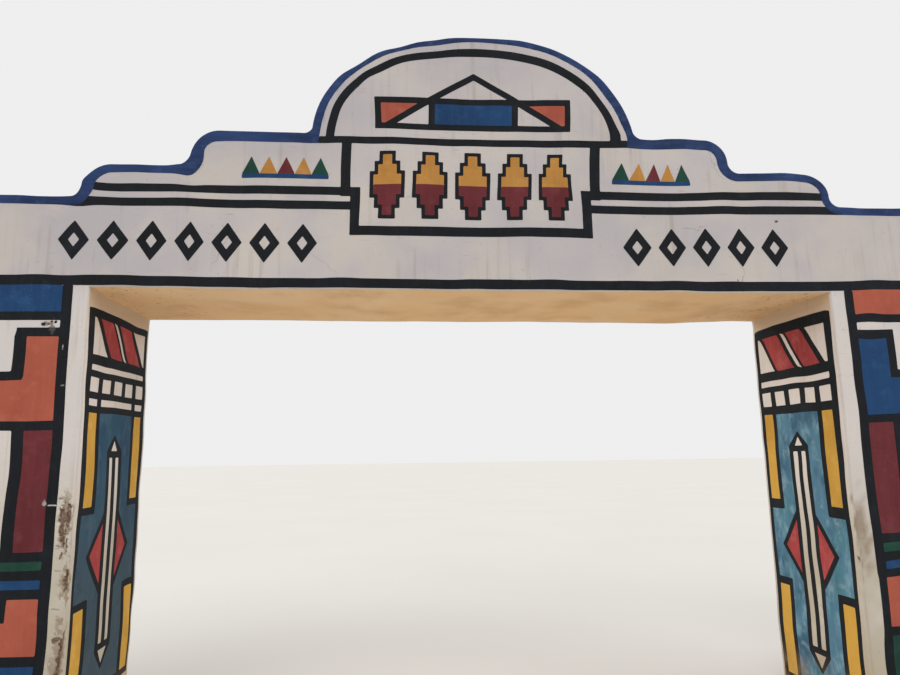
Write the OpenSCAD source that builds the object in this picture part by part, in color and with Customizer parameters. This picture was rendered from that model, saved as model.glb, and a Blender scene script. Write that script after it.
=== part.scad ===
// Painted masonry gateway: two thick plastered piers, a deep beam over the passage, and a
// stepped pediment with round shoulders and a gable in the form of a basket-handle arch.
// Its faces carry a mural of black lines and flat colours, bordered by a navy coping.
// Millimetres. The origin is on the ground in the middle of the footprint, X runs along the
// gateway, Y runs through the passage with the front face at negative Y, and Z is up.

/* [Passage] */
// Clear width between the plastered jambs
opening_w = 4800; // [4200:50:5600]
// Clear height from the ground to the plastered soffit
opening_h = 2800; // [2700:10:3100]
// Depth of the gateway from front plaster to rear plaster
depth = 1040; // [1020:10:1200]

/* [Piers and beam] */
// Width of each pier along the gateway
pier_w = 1300; // [1100:10:1600]
// Height of the beam's face, from the soffit to the top of the low parapet
beam_h = 585; // [560:5:660]

/* [Pediment] */
// Rise of the lower tier above the parapet
lower_rise = 230; // [222:2:260]
// Half of the lower tier's width, to its riser
lower_half = 2480; // [2350:10:2560]
// Rise of the upper tier above the lower one
upper_rise = 245; // [235:5:300]
// Half of the upper tier's width, to its riser
upper_half = 1800; // [1600:10:1900]
// Radius of the tiers' round shoulders
shoulder_r = 150; // [120:5:155]
// Radius of the curve at the foot of each tier
foot_r = 70; // [50:5:75]
// Rise of the gable above the upper tier
gable_rise = 725; // [640:5:800]
// Half of the gable's width
gable_half = 1073; // [1000:5:1150]
// Radius of the gable's haunches, at each side of its flatter crown
haunch_r = 500; // [440:10:560]
// Radius of the curve at the foot of the gable
gable_foot_r = 45; // [30:5:60]

/* [Coats] */
// Thickness of the plaster on the masonry
plaster_t = 25; // [15:1:40]
// Thickness of the paint, drawn far thicker than it is so that it is a solid
paint_t = 3; // [1:0.5:4]
// Height of the navy coping band on the parapet and the lower tier
coping_t = 57; // [40:1:80]
// Height of the navy coping band on the upper tier
upper_coping_t = 75; // [58:1:90]
// Thickness of the navy coping band around the gable
gable_coping_t = 45; // [35:1:60]

/* [Beam and pediment lines] */
// Plaster left between the soffit's edge and the black line above it
beam_line_lift = 5; // [3:1:15]
// Height of the black line along the foot of the beam
beam_line_h = 65; // [45:1:80]
// Height of each of the two black lines beside the name panel
tier_line_h = 56; // [40:1:70]
// White gap between those two lines
tier_gap = 42; // [30:1:60]
// Height of the black line under the gable
gable_base_line = 50; // [35:1:65]
// White band between the gable's coping and its black line
gable_white = 48; // [35:1:65]
// Thickness of the gable's black line
gable_line = 58; // [40:1:75]
// Half of the name panel's outer width above its step
panel_half = 867; // [800:1:930]
// Thickness of the name panel's black frame
panel_line = 62; // [45:1:75]
// Drop of the name panel below the top of the parapet
panel_drop = 230; // [180:5:260]

/* [Gable motif] */
// Half of the motif's outer width
motif_half = 665; // [600:1:720]
// Height of the motif's foot above the upper tier
motif_lift = 36; // [10:1:60]
// Height of the motif's long box
motif_h = 226; // [200:1:260]
// Height of the roof's tip above the box
motif_peak = 187; // [150:1:220]
// Slope of the roof, as rise over run
motif_slope = 0.62; // [0.58:0.01:0.7]
// Half of the blue box in the middle
motif_core = 254; // [200:1:290]
// Thickness of the motif's lines
motif_line = 42; // [30:1:55]

/* [Friezes] */
// Lozenges on the left and on the right half of the beam
lozenges = [7, 5];
// Step from one lozenge to the next
lozenge_pitch = 236; // [200:1:260]
// Width of a lozenge
lozenge_w = 190; // [140:1:195]
// Height of a lozenge
lozenge_h = 262; // [200:1:300]
// Distance of the first lozenge from the name panel
lozenge_gap = 200; // [120:5:320]
// Width of the hollow in a lozenge, as a share of the lozenge
lozenge_eye = 0.36; // [0.2:0.02:0.5]
// Stepped figures in the name panel
figures = 5; // [3:1:5]
// Step from one figure to the next
figure_pitch = 284; // [270:1:290]
// Width of a figure inside its outline
figure_w = 186; // [140:1:200]
// Height of a figure inside its outline
figure_h = 420; // [340:5:440]
// Thickness of a figure's black outline
figure_line = 24; // [16:1:30]
// Distance from the middle of the gateway to the row of triangles on each tier
crest_x = 1220; // [1180:5:1380]
// Width of one triangle in that row
crest_w = 110; // [80:1:120]
// Height of one triangle in that row
crest_h = 118; // [80:1:140]
// Height of the bar that the triangles stand on
crest_bar = 30; // [20:1:40]
// Height of that bar above the lines beside the name panel
crest_lift = 52; // [30:1:70]

/* [Pier mural] */
// Plaster margin between the pier's edges and its mural
margin = 95; // [70:1:110]
// Width of the black border along the mural's sides
border = 62; // [45:1:75]
// Thickness of the black lines between the colour fields
line = 54; // [40:1:60]
// Height of plaster left bare at the foot of the pier
skirt = 276; // [180:2:300]
// Height of the field under the beam
head_field = 170; // [140:1:200]
// Height of the white strip below it
strip_h = 46; // [35:1:60]
// Height of the stepped field
step_h = 506; // [450:2:540]
// Height of the stepped field's cross arm
step_arm = 240; // [180:2:280]
// Width of the stepped field's uprights
step_w = 196; // [150:2:220]
// Width of the tall maroon fields
tall_w = 168; // [130:2:200]
// Height of each of the two narrow bands
band_h = 50; // [35:1:60]
// Height of the lower stepped field
block_h = 305; // [270:2:340]
// Height of the lower stepped field's cross arm
block_arm = 177; // [140:1:200]
// Height of the lowest field
foot_h = 274; // [200:2:300]

/* [Jamb mural] */
// Distance of the panel's top below the soffit, left and right
jamb_drop = [120, 136];
// Distance of the panel's front edge from the front arris, at its top and at its foot
jamb_front = [36, 84];
// Distance of the colour fields from the front arris
jamb_fields = 105; // [98:1:120]
// Distance of the panel's rear edge from the rear arris
jamb_back = 28; // [15:1:60]
// Thickness of the panel's black border along its rear edge
jamb_border = 47; // [35:1:60]
// Thickness of the lines between the rows, left and right
jamb_line = [44, 56];
// Height of the slanted row, left and right
slant_h = [240, 272];
// Sideways run of the slanted strips
slant_run = 190; // [150:5:220]
// Widths of the slanted strips: white corner, red, thin white, red
slant_w = [30, 185, 55, 223];
// Black line after each of those strips
slant_gap = [60, 22, 35, 40];
// Height of the thin white strip
thin_h = 45; // [30:1:55]
// Height of the row of squares, left and right
square_h = [95, 110];
// Squares in that row
square_n = 5; // [3:1:7]
// Black gap between the squares
square_gap = 60; // [40:1:75]
// Height of the third row, which only the left jamb has
third_h = 44; // [30:1:55]
// Height of the upper yellow bars, left and right
upper_bar = [566, 647];
// Height of the lower yellow bars' feet above the ground, left and right
bar_foot = [340, 125];
// Height of the lower yellow bars, left and right
lower_bar = [530, 630];
// Width of the yellow bars
bar_w = 118; // [100:1:125]
// Black line between the yellow bars and the blue field
bar_line = 48; // [38:1:58]
// Distance of the blade's white bars from the top of the blue field
blade_drop = 280; // [240:5:320]
// Distance of the blade's white bars from the foot of the blue field
blade_lift = 270; // [240:5:320]
// Width of each of the blade's two white bars
blade_bar = 58; // [45:1:70]
// Black gap between the blade's two white bars
blade_gap = 38; // [25:1:50]
// Black outline of the blade and the diamond
blade_line = 40; // [30:1:50]
// Half of the diamond's width
diamond_half_w = 270; // [230:2:290]
// Half of the diamond's height
diamond_half_h = 320; // [280:2:350]

/* [Hidden] */
$fn = 96;
LEFT = -1;
RIGHT = 1;

brick_tone = [0.60, 0.42, 0.30];
concrete_tone = [0.62, 0.61, 0.58];
plaster_tone = [0.86, 0.84, 0.80];
soffit_tone = [0.84, 0.77, 0.66];
navy = [0.14, 0.17, 0.35];
black = [0.09, 0.10, 0.12];
blue = [0.16, 0.33, 0.52];
sky_blue = [0.30, 0.52, 0.66];
orange = [0.78, 0.38, 0.24];
maroon = [0.45, 0.15, 0.18];
green = [0.12, 0.28, 0.24];
ochre = [0.80, 0.55, 0.18];
red = [0.75, 0.22, 0.22];
yellow = [0.89, 0.72, 0.30];

// Levels, from the ground up
total_half = opening_w / 2 + pier_w;
parapet_z = opening_h + beam_h;
lower_z = parapet_z + lower_rise;
upper_z = lower_z + upper_rise;
gable_z = upper_z + gable_rise;
core_top = parapet_z - coping_t;
inner_lower_z = lower_z - coping_t;
inner_upper_z = upper_z - upper_coping_t;
// The gable's arch springs where the curve at its foot ends
spring_z = upper_z + gable_foot_r;
beam_line_z = opening_h + beam_line_lift;

// Levels of the pier mural: the upper fields hang from the beam, the lower ones stand on the
// skirting, and the tall fields take what is left between them
head_low = beam_line_z - head_field;
strip_top = head_low - line;
strip_low = strip_top - strip_h;
step_top = strip_low - line;
step_low = step_top - step_h;
tall_top = step_low - line;
foot_low = skirt + line;
foot_top = foot_low + foot_h;
block_low = foot_top + line;
block_top = block_low + block_h;
band_low = block_top + line;
green_low = band_low + band_h + line;
tall_low = green_low + band_h + line;
// Distance of the colour fields from the pier's edges
field_in = margin + border;

// Levels of the jamb mural, from the soffit down, for a side counted 0 left and 1 right
function jamb_top(i) = opening_h - jamb_drop[i];
function slant_top(i) = jamb_top(i) - jamb_line[i];
function thin_top(i) = slant_top(i) - slant_h[i] - jamb_line[i];
function square_top(i) = thin_top(i) - thin_h - jamb_line[i];
function third_top(i) = square_top(i) - square_h[i] - jamb_line[i];
function field_top(i) = i == 0 ? third_top(i) - third_h - jamb_line[i] : third_top(i);
function upper_bar_low(i) = field_top(i) - upper_bar[i];
function lower_bar_top(i) = bar_foot[i] + lower_bar[i];
function blade_top(i) = field_top(i) - blade_drop;
function blade_low(i) = bar_foot[i] + blade_lift;
function diamond_z(i) = (upper_bar_low(i) + lower_bar_top(i)) / 2;

// Places across the jamb, from the front arris to the rear
jamb_rear = depth - jamb_back;
jamb_in = [jamb_fields, jamb_rear - jamb_border];
// The front bars stand a little back from the other fields
bar_back = 10;
front_bar = [jamb_in[0] + bar_back, jamb_in[0] + bar_back + bar_w];
rear_bar = [jamb_in[1] - bar_w, jamb_in[1]];
blue_col = [front_bar[1] + bar_line, rear_bar[0] - bar_line];
blade_mid = (blue_col[0] + blue_col[1]) / 2;
square_w = (jamb_in[1] - jamb_in[0] + square_gap) / square_n - square_gap;
squares = [for (n = [0 : square_n - 1]) jamb_in[0] + n * (square_w + square_gap)];
function slant_start(n) = n == 0 ? jamb_in[0] : slant_start(n - 1) + slant_w[n - 1] + slant_gap[n - 1];
// Heads of the blade: black gap to the white tip, height of the tip and half of its base
head_gap = 42;
top_tip = [66, 45];
low_tip = [90, 62];
tip_cover = 38;

// Outlines in the plane of the face: x along the gateway, y up

module side_of(side) {
    mirror([side < 0 ? 1 : 0, 0, 0]) children();
}

module both_sides() {
    for (side = [LEFT, RIGHT]) side_of(side) children();
}

// Rectangle between two corners
module span(x0, x1, z0, z1) {
    translate([x0, z0]) square([x1 - x0, z1 - z0]);
}

// A tier: round shoulders at the top, and feet that curve out onto the level below
module tier_outline(half, low, top, shoulder, foot) {
    span(-half, half, low, top - shoulder);
    span(shoulder - half, half - shoulder, top - shoulder, top);
    both_sides() {
        translate([half - shoulder, top - shoulder]) intersection() {
            circle(shoulder);
            square(shoulder);
        }
        difference() {
            translate([half, low]) square(foot);
            translate([half + foot, low + foot]) circle(foot);
        }
    }
}

// A basket-handle arch, inset from the gable's outer face: two haunches and a flatter crown
module arch_outline(inset, low) {
    haunch = haunch_r - inset;
    haunch_x = gable_half - haunch_r;
    rise = gable_z - spring_z;
    crown_r = (haunch_x * haunch_x + rise * rise - haunch_r * haunch_r) / (2 * (rise - haunch_r));
    crown_z = gable_z - crown_r;
    turn = atan2(haunch_x, spring_z - crown_z);
    reach = 2 * crown_r;
    edge = [reach * sin(turn), reach * cos(turn)];
    translate([0, crown_z]) intersection() {
        circle(crown_r - inset, $fn = 360);
        polygon([[0, 0], edge, [-edge[0], edge[1]]]);
        translate([-crown_r, spring_z - crown_z]) square([2 * crown_r, crown_r]);
    }
    both_sides() translate([haunch_x, spring_z]) intersection() {
        circle(haunch);
        polygon([[0, 0], [reach, 0], [reach, edge[1]], edge]);
    }
    span(inset - gable_half, gable_half - inset, low, spring_z);
}

// Everything inside the coping: two tiers and the gable
module pediment_inside() {
    lower_inside();
    upper_inside();
    gable_inside();
}

module lower_inside() {
    tier_outline(lower_half - coping_t, core_top, inner_lower_z, shoulder_r - coping_t, foot_r + coping_t);
}

module upper_inside() {
    tier_outline(upper_half - upper_coping_t, inner_lower_z, inner_upper_z,
                 shoulder_r - upper_coping_t, foot_r + coping_t);
}

module gable_inside() {
    arch_outline(gable_coping_t, inner_upper_z);
}

// Depth of the solids

module through_wall(d) {
    translate([0, d / 2, 0]) rotate([90, 0, 0]) linear_extrude(d) children();
}

module front_coat() {
    translate([0, plaster_t - depth / 2, 0]) rotate([90, 0, 0]) linear_extrude(plaster_t) children();
}

module front_paint() {
    translate([0, -depth / 2, 0]) rotate([90, 0, 0]) linear_extrude(paint_t) children();
}

module rear() {
    mirror([0, 1, 0]) children();
}

// Paint on a jamb: children are drawn with x from the front arris to the rear, y up
module jamb_paint(side) {
    translate([side * opening_w / 2 - (side > 0 ? paint_t : 0), -depth / 2, 0])
        rotate([90, 0, 90]) linear_extrude(paint_t) children();
}

// Masonry

module pier_core(side) {
    color(brick_tone) side_of(side) through_wall(depth - 2 * plaster_t)
        span(opening_w / 2 + plaster_t, total_half - plaster_t, 0, opening_h + plaster_t);
}

module left_pier_brickwork() { pier_core(LEFT); }

module right_pier_brickwork() { pier_core(RIGHT); }

module lintel_beam() {
    color(concrete_tone) through_wall(depth - 2 * plaster_t)
        span(plaster_t - total_half, total_half - plaster_t, opening_h + plaster_t, core_top);
}

module lower_tier_brickwork() {
    color(brick_tone) through_wall(depth - 2 * plaster_t) lower_inside();
}

module upper_tier_brickwork() {
    color(brick_tone) through_wall(depth - 2 * plaster_t) upper_inside();
}

module gable_brickwork() {
    color(brick_tone) through_wall(depth - 2 * plaster_t) gable_inside();
}

// Plaster

module pier_face(side) {
    color(plaster_tone) side_of(side) front_coat() span(opening_w / 2, total_half, 0, opening_h);
}

module beam_face() {
    color(plaster_tone) front_coat() span(-total_half, total_half, opening_h, core_top);
}

module pediment_face() {
    color(plaster_tone) front_coat() pediment_inside();
}

module jamb_coat(side) {
    color(plaster_tone) side_of(side) through_wall(depth - 2 * plaster_t)
        span(opening_w / 2, opening_w / 2 + plaster_t, 0, opening_h);
}

module end_coat(side) {
    color(plaster_tone) side_of(side) through_wall(depth - 2 * plaster_t)
        span(total_half - plaster_t, total_half, 0, core_top);
}

module front_left_pier_plaster() { pier_face(LEFT); }

module front_right_pier_plaster() { pier_face(RIGHT); }

module front_beam_plaster() { beam_face(); }

module front_pediment_plaster() { pediment_face(); }

module rear_left_pier_plaster() { rear() pier_face(LEFT); }

module rear_right_pier_plaster() { rear() pier_face(RIGHT); }

module rear_beam_plaster() { rear() beam_face(); }

module rear_pediment_plaster() { rear() pediment_face(); }

module left_jamb_plaster() { jamb_coat(LEFT); }

module right_jamb_plaster() { jamb_coat(RIGHT); }

module soffit_plaster() {
    half = opening_w / 2 + plaster_t;
    color(soffit_tone) through_wall(depth - 2 * plaster_t) span(-half, half, opening_h, opening_h + plaster_t);
}

module left_end_plaster() { end_coat(LEFT); }

module right_end_plaster() { end_coat(RIGHT); }

// Coping: painted plaster caps over the full depth, as proud of the faces as the paint

module coping_solid() {
    color(navy) through_wall(depth + 2 * paint_t) children();
}

module base_coping(side) {
    side_of(side) coping_solid() span(lower_half + foot_r, total_half + paint_t, core_top, parapet_z);
}

module left_base_coping() { base_coping(LEFT); }

module right_base_coping() { base_coping(RIGHT); }

module lower_step_coping() {
    coping_solid() both_sides() difference() {
        intersection() {
            union() {
                tier_outline(lower_half, parapet_z, lower_z, shoulder_r, foot_r);
                span(0, lower_half + foot_r, core_top, parapet_z);
            }
            span(upper_half + foot_r, lower_half + foot_r, core_top, lower_z);
        }
        lower_inside();
    }
}

module upper_step_coping() {
    gable_foot = gable_half + gable_foot_r;
    coping_solid() both_sides() difference() {
        intersection() {
            union() {
                tier_outline(upper_half, lower_z, upper_z, shoulder_r, foot_r);
                span(0, upper_half + foot_r, inner_lower_z, lower_z);
            }
            span(gable_foot, upper_half + foot_r, inner_lower_z, upper_z);
        }
        upper_inside();
    }
}

module gable_coping() {
    foot = gable_half + gable_foot_r;
    coping_solid() difference() {
        union() {
            arch_outline(0, upper_z);
            both_sides() difference() {
                translate([gable_half, upper_z]) square(gable_foot_r);
                translate([foot, spring_z]) circle(gable_foot_r);
            }
            span(-foot, foot, inner_upper_z, upper_z);
        }
        gable_inside();
    }
}

// Black lines of the beam and the pediment

module beam_line() {
    half_y = depth / 2;
    color(black) translate([0, 0, beam_line_z]) linear_extrude(beam_line_h) difference() {
        square([2 * (total_half + paint_t), 2 * (half_y + paint_t)], center = true);
        square([2 * total_half, 2 * half_y], center = true);
    }
}

panel_low = parapet_z - panel_drop;
panel_step = core_top + 2 * tier_line_h + tier_gap;
panel_inner = panel_half - panel_line;
gable_base_top = inner_upper_z + gable_base_line;

// The name panel's outer outline: wide above its step, narrower below
module panel_outline() {
    span(-panel_half, panel_half, panel_step - panel_line, inner_upper_z);
    span(-panel_inner, panel_inner, panel_low, inner_upper_z);
}

module tier_lines() {
    for (low = [core_top, core_top + tier_line_h + tier_gap]) intersection() {
        lower_inside();
        span(-lower_half - foot_r, lower_half + foot_r, low, low + tier_line_h);
    }
}

module panel_frame() {
    difference() {
        union() {
            tier_lines();
            panel_outline();
        }
        panel_hollow();
    }
}

// White of the name panel, wider above its step
module panel_hollow() {
    span(-panel_inner, panel_inner, panel_step, inner_upper_z);
    span(panel_line - panel_inner, panel_inner - panel_line, panel_low + panel_line, inner_upper_z);
}

module gable_lines() {
    outer = gable_coping_t + gable_white;
    span(gable_coping_t - gable_half, gable_half - gable_coping_t, inner_upper_z, gable_base_top);
    difference() {
        arch_outline(outer, gable_base_top);
        arch_outline(outer + gable_line, gable_base_top);
    }
}

// Gable motif: a long box with a roof whose slopes run on into the box's lower corners

motif_low = upper_z + motif_lift;
motif_top = motif_low + motif_h;
motif_tip = motif_top + motif_peak;
// Height of a sloping line measured straight up
slope_line = motif_line * sqrt(1 + motif_slope * motif_slope);

// Everything under a roof with its tip at the given height
module under_roof(tip, low) {
    run = (tip - low) / motif_slope;
    polygon([[0, tip], [run, low], [-run, low]]);
}

module motif_outline() {
    span(-motif_half, motif_half, motif_low, motif_top);
    under_roof(motif_tip, motif_top);
}

module motif_side_cells() {
    both_sides() span(motif_core + motif_line, motif_half - motif_line,
                      motif_low + motif_line, motif_top - motif_line);
}

module motif_blue() {
    span(-motif_core, motif_core, motif_low + motif_line, motif_top - motif_line);
}

module motif_orange() {
    difference() {
        motif_side_cells();
        under_roof(motif_tip, motif_low);
    }
}

module motif_white() {
    intersection() {
        motif_side_cells();
        under_roof(motif_tip - slope_line, motif_low);
    }
    under_roof(motif_tip - slope_line, motif_top);
}

module motif_lines() {
    difference() {
        motif_outline();
        motif_blue();
        motif_orange();
        motif_white();
    }
}

// Friezes, in the places of lettering and badges

module lozenge(w, h) {
    polygon([[0, h / 2], [w / 2, 0], [0, -h / 2], [-w / 2, 0]]);
}

module beam_frieze() {
    middle = (beam_line_z + beam_line_h + core_top) / 2;
    for (i = [0, 1]) side_of(i == 0 ? LEFT : RIGHT) for (n = [0 : lozenges[i] - 1])
        translate([panel_inner + lozenge_gap + lozenge_w / 2 + n * lozenge_pitch, middle]) difference() {
            lozenge(lozenge_w, lozenge_h);
            lozenge(lozenge_w * lozenge_eye, lozenge_h * lozenge_eye);
        }
}

// A figure of three crossed rectangles, each narrower and taller than the last
module stepped_figure(grow) {
    for (k = [1, 2, 3]) square([figure_w * (4 - k) / 3 + 2 * grow, figure_h * k / 3 + 2 * grow], center = true);
}

module each_figure() {
    middle = (panel_low + panel_line + inner_upper_z) / 2;
    for (n = [0 : figures - 1]) translate([(n - (figures - 1) / 2) * figure_pitch, middle]) children();
}

module figure_outlines() {
    each_figure() difference() {
        stepped_figure(figure_line);
        stepped_figure(0);
    }
}

module figure_half(up) {
    each_figure() intersection() {
        stepped_figure(0);
        translate([-figure_w, up ? 0 : -figure_h]) square([2 * figure_w, figure_h]);
    }
}

// Row of five triangles on a bar, on the upper tier beside the name panel
crest_z = panel_step + crest_lift;
crest_start = crest_x - 2.5 * crest_w;

module crest_bars() {
    both_sides() span(crest_start, crest_start + 5 * crest_w, crest_z, crest_z + crest_bar);
}

module crest_triangles(places) {
    both_sides() for (n = places) translate([crest_start + n * crest_w, crest_z + crest_bar])
        polygon([[0, 0], [crest_w, 0], [crest_w / 2, crest_h]]);
}

module pediment_lines() {
    panel_frame();
    gable_lines();
    motif_lines();
    beam_frieze();
    figure_outlines();
}

// Pier mural, drawn with x from the jamb's arris outwards

module pier_place(side) {
    side_of(side) translate([opening_w / 2, 0]) children();
}

// Field over the pier's middle, as far from one edge as from the other
module across(inset, low, top) {
    span(inset, pier_w - inset, low, top);
}

module head_fields() { across(field_in, head_low, beam_line_z); }

module white_block() {
    across(field_in, strip_low, strip_top);
    across(field_in + step_w + line, step_low + step_arm + line, strip_top);
}

module step_field() {
    difference() {
        across(field_in, step_low, step_top);
        across(field_in + step_w, step_low + step_arm, step_top);
    }
}

module tall_fields() {
    span(field_in, field_in + tall_w, tall_low, tall_top);
    span(pier_w - field_in - tall_w, pier_w - field_in, tall_low, tall_top);
}

module white_middle() { across(field_in + tall_w + line, tall_low, tall_top); }

module green_band() { across(field_in, green_low, green_low + band_h); }

module blue_band() { across(field_in, band_low, band_low + band_h); }

module block_field() {
    difference() {
        across(field_in, block_low, block_top);
        across(field_in + tall_w, block_low + block_arm, block_top);
    }
}

module white_notch() { across(field_in + tall_w + line, block_low + block_arm + line, block_top); }

module foot_field() { across(field_in, foot_low, foot_top); }

module pier_lines() {
    difference() {
        across(margin, skirt, beam_line_z);
        head_fields();
        white_block();
        step_field();
        tall_fields();
        white_middle();
        green_band();
        blue_band();
        block_field();
        white_notch();
        foot_field();
    }
}

// The face's colours, each gathered from both piers and the pediment

module face_blue() {
    pier_place(LEFT) {
        head_fields();
        blue_band();
        foot_field();
    }
    pier_place(RIGHT) {
        step_field();
        blue_band();
    }
    motif_blue();
    crest_bars();
}

module face_orange() {
    pier_place(LEFT) {
        step_field();
        block_field();
    }
    pier_place(RIGHT) {
        head_fields();
        block_field();
    }
    motif_orange();
}

module face_maroon() {
    pier_place(LEFT) tall_fields();
    pier_place(RIGHT) tall_fields();
    figure_half(false);
    crest_triangles([2]);
}

module face_green() {
    pier_place(LEFT) green_band();
    pier_place(RIGHT) {
        green_band();
        foot_field();
    }
    crest_triangles([0, 4]);
}

module face_ochre() {
    figure_half(true);
    crest_triangles([1, 3]);
}

module face_pier_lines() {
    pier_place(LEFT) pier_lines();
    pier_place(RIGHT) pier_lines();
}

module front_pier_lines() { color(black) front_paint() face_pier_lines(); }

module front_pediment_lines() { color(black) front_paint() pediment_lines(); }

module rear_pier_lines() { rear() front_pier_lines(); }

module rear_pediment_lines() { rear() front_pediment_lines(); }

module front_blue() { color(blue) front_paint() face_blue(); }

module front_orange() { color(orange) front_paint() face_orange(); }

module front_maroon() { color(maroon) front_paint() face_maroon(); }

module front_green() { color(green) front_paint() face_green(); }

module front_ochre() { color(ochre) front_paint() face_ochre(); }

module rear_blue() { rear() front_blue(); }

module rear_orange() { rear() front_orange(); }

module rear_maroon() { rear() front_maroon(); }

module rear_green() { rear() front_green(); }

module rear_ochre() { rear() front_ochre(); }

// Jamb mural: slanted strips, squares, yellow bars, and a long blade over a red diamond

// One slanted strip, which leans to the rear on the left jamb and to the front on the right
module slanted(i, start, end) {
    top = slant_top(i);
    low = top - slant_h[i];
    lean = i == 0 ? [0, slant_run] : [slant_run, 0];
    intersection() {
        span(jamb_in[0], jamb_in[1], low, top);
        polygon([[start + lean[0], top], [end + lean[0], top], [end + lean[1], low], [start + lean[1], low]]);
    }
}

module slanted_strip(i, n) {
    slanted(i, slant_start(n), slant_start(n) + slant_w[n]);
}

// White cell of a row, from one square's front edge to the same or another one's rear edge
module cell(first, last, top, h) {
    span(squares[first], squares[last] + square_w, top - h, top);
}

module yellow_bars(i) {
    for (bar = [front_bar, rear_bar]) {
        span(bar[0], bar[1], upper_bar_low(i), field_top(i));
        span(bar[0], bar[1], bar_foot[i], lower_bar_top(i));
    }
}

// Black shape behind the blade: a long box with a pointed head and foot
module blade_body(i) {
    half = blade_bar + blade_gap / 2 + blade_line;
    top = blade_top(i) + head_gap;
    low = blade_low(i) - head_gap;
    polygon([[blade_mid - half, low], [blade_mid, low - low_tip[0] - tip_cover], [blade_mid + half, low],
             [blade_mid + half, top], [blade_mid, top + top_tip[0] + tip_cover], [blade_mid - half, top]]);
}

module blade_whites(i) {
    for (s = [-blade_bar - blade_gap / 2, blade_gap / 2])
        span(blade_mid + s, blade_mid + s + blade_bar, blade_low(i), blade_top(i));
    translate([blade_mid, blade_top(i) + head_gap])
        polygon([[-top_tip[1], 0], [top_tip[1], 0], [0, top_tip[0]]]);
    translate([blade_mid, blade_low(i) - head_gap])
        polygon([[-low_tip[1], 0], [0, -low_tip[0]], [low_tip[1], 0]]);
}

module diamond(i, grow) {
    // The outline keeps its thickness square to the diamond's sides
    k = 1 + grow * sqrt(1 / (diamond_half_w * diamond_half_w) + 1 / (diamond_half_h * diamond_half_h));
    translate([blade_mid, diamond_z(i)]) lozenge(2 * diamond_half_w * k, 2 * diamond_half_h * k);
}

module red_fields(i) {
    for (n = [1, 3]) slanted_strip(i, n);
    difference() {
        diamond(i, 0);
        blade_body(i);
    }
}

module blue_fields(i) {
    difference() {
        union() {
            span(blue_col[0], blue_col[1], bar_foot[i], field_top(i));
            span(jamb_in[0], jamb_in[1], lower_bar_top(i) + jamb_line[i], upper_bar_low(i) - jamb_line[i]);
        }
        blade_body(i);
        diamond(i, blade_line);
    }
}

module jamb_whites(i) {
    last = square_n - 1;
    slanted(i, slant_start(0) - slant_run, slant_start(0) + slant_w[0]);
    slanted_strip(i, 2);
    slanted(i, slant_start(4), jamb_in[1] + slant_run);
    cell(0, last, thin_top(i), thin_h);
    for (n = [0 : last]) cell(n, n, square_top(i), square_h[i]);
    if (i == 0) {
        cell(0, 0, third_top(i), third_h);
        cell(1, last - 1, third_top(i), third_h);
        cell(last, last, third_top(i), third_h);
    }
    blade_whites(i);
}

module jamb_lines(i) {
    low = bar_foot[i] - jamb_line[i];
    difference() {
        polygon([[jamb_front[0], jamb_top(i)], [jamb_rear, jamb_top(i)], [jamb_rear, low], [jamb_front[1], low]]);
        jamb_whites(i);
        red_fields(i);
        blue_fields(i);
        yellow_bars(i);
    }
}

module left_jamb_lines() { color(black) jamb_paint(LEFT) jamb_lines(0); }

module right_jamb_lines() { color(black) jamb_paint(RIGHT) jamb_lines(1); }

module jamb_red() {
    color(red) {
        jamb_paint(LEFT) red_fields(0);
        jamb_paint(RIGHT) red_fields(1);
    }
}

module jamb_blue() {
    color(sky_blue) {
        jamb_paint(LEFT) blue_fields(0);
        jamb_paint(RIGHT) blue_fields(1);
    }
}

module jamb_yellow() {
    color(yellow) {
        jamb_paint(LEFT) yellow_bars(0);
        jamb_paint(RIGHT) yellow_bars(1);
    }
}

left_pier_brickwork();
right_pier_brickwork();
lintel_beam();
lower_tier_brickwork();
upper_tier_brickwork();
gable_brickwork();
front_left_pier_plaster();
front_right_pier_plaster();
front_beam_plaster();
front_pediment_plaster();
rear_left_pier_plaster();
rear_right_pier_plaster();
rear_beam_plaster();
rear_pediment_plaster();
left_jamb_plaster();
right_jamb_plaster();
soffit_plaster();
left_end_plaster();
right_end_plaster();
left_base_coping();
right_base_coping();
lower_step_coping();
upper_step_coping();
gable_coping();
beam_line();
front_pier_lines();
front_pediment_lines();
rear_pier_lines();
rear_pediment_lines();
left_jamb_lines();
right_jamb_lines();
front_blue();
front_orange();
front_maroon();
front_green();
front_ochre();
rear_blue();
rear_orange();
rear_maroon();
rear_green();
rear_ochre();
jamb_red();
jamb_blue();
jamb_yellow();
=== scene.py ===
"""Looks of a painted masonry gateway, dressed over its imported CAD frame.

Metres, in the frame of the CAD model: X runs along the gateway, Y runs through the passage with
the front face at negative Y, and Z is up from the ground. Every coat of plaster and paint is cut
into small cells and moved by one shared field, so that the coats stay closed against each other.
"""

import itertools
import logging
import math
from dataclasses import dataclass, field
from enum import Enum
from functools import partial
from typing import Sequence

import bmesh
import bpy
import numpy as np
from mathutils import Matrix, Vector

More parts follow.
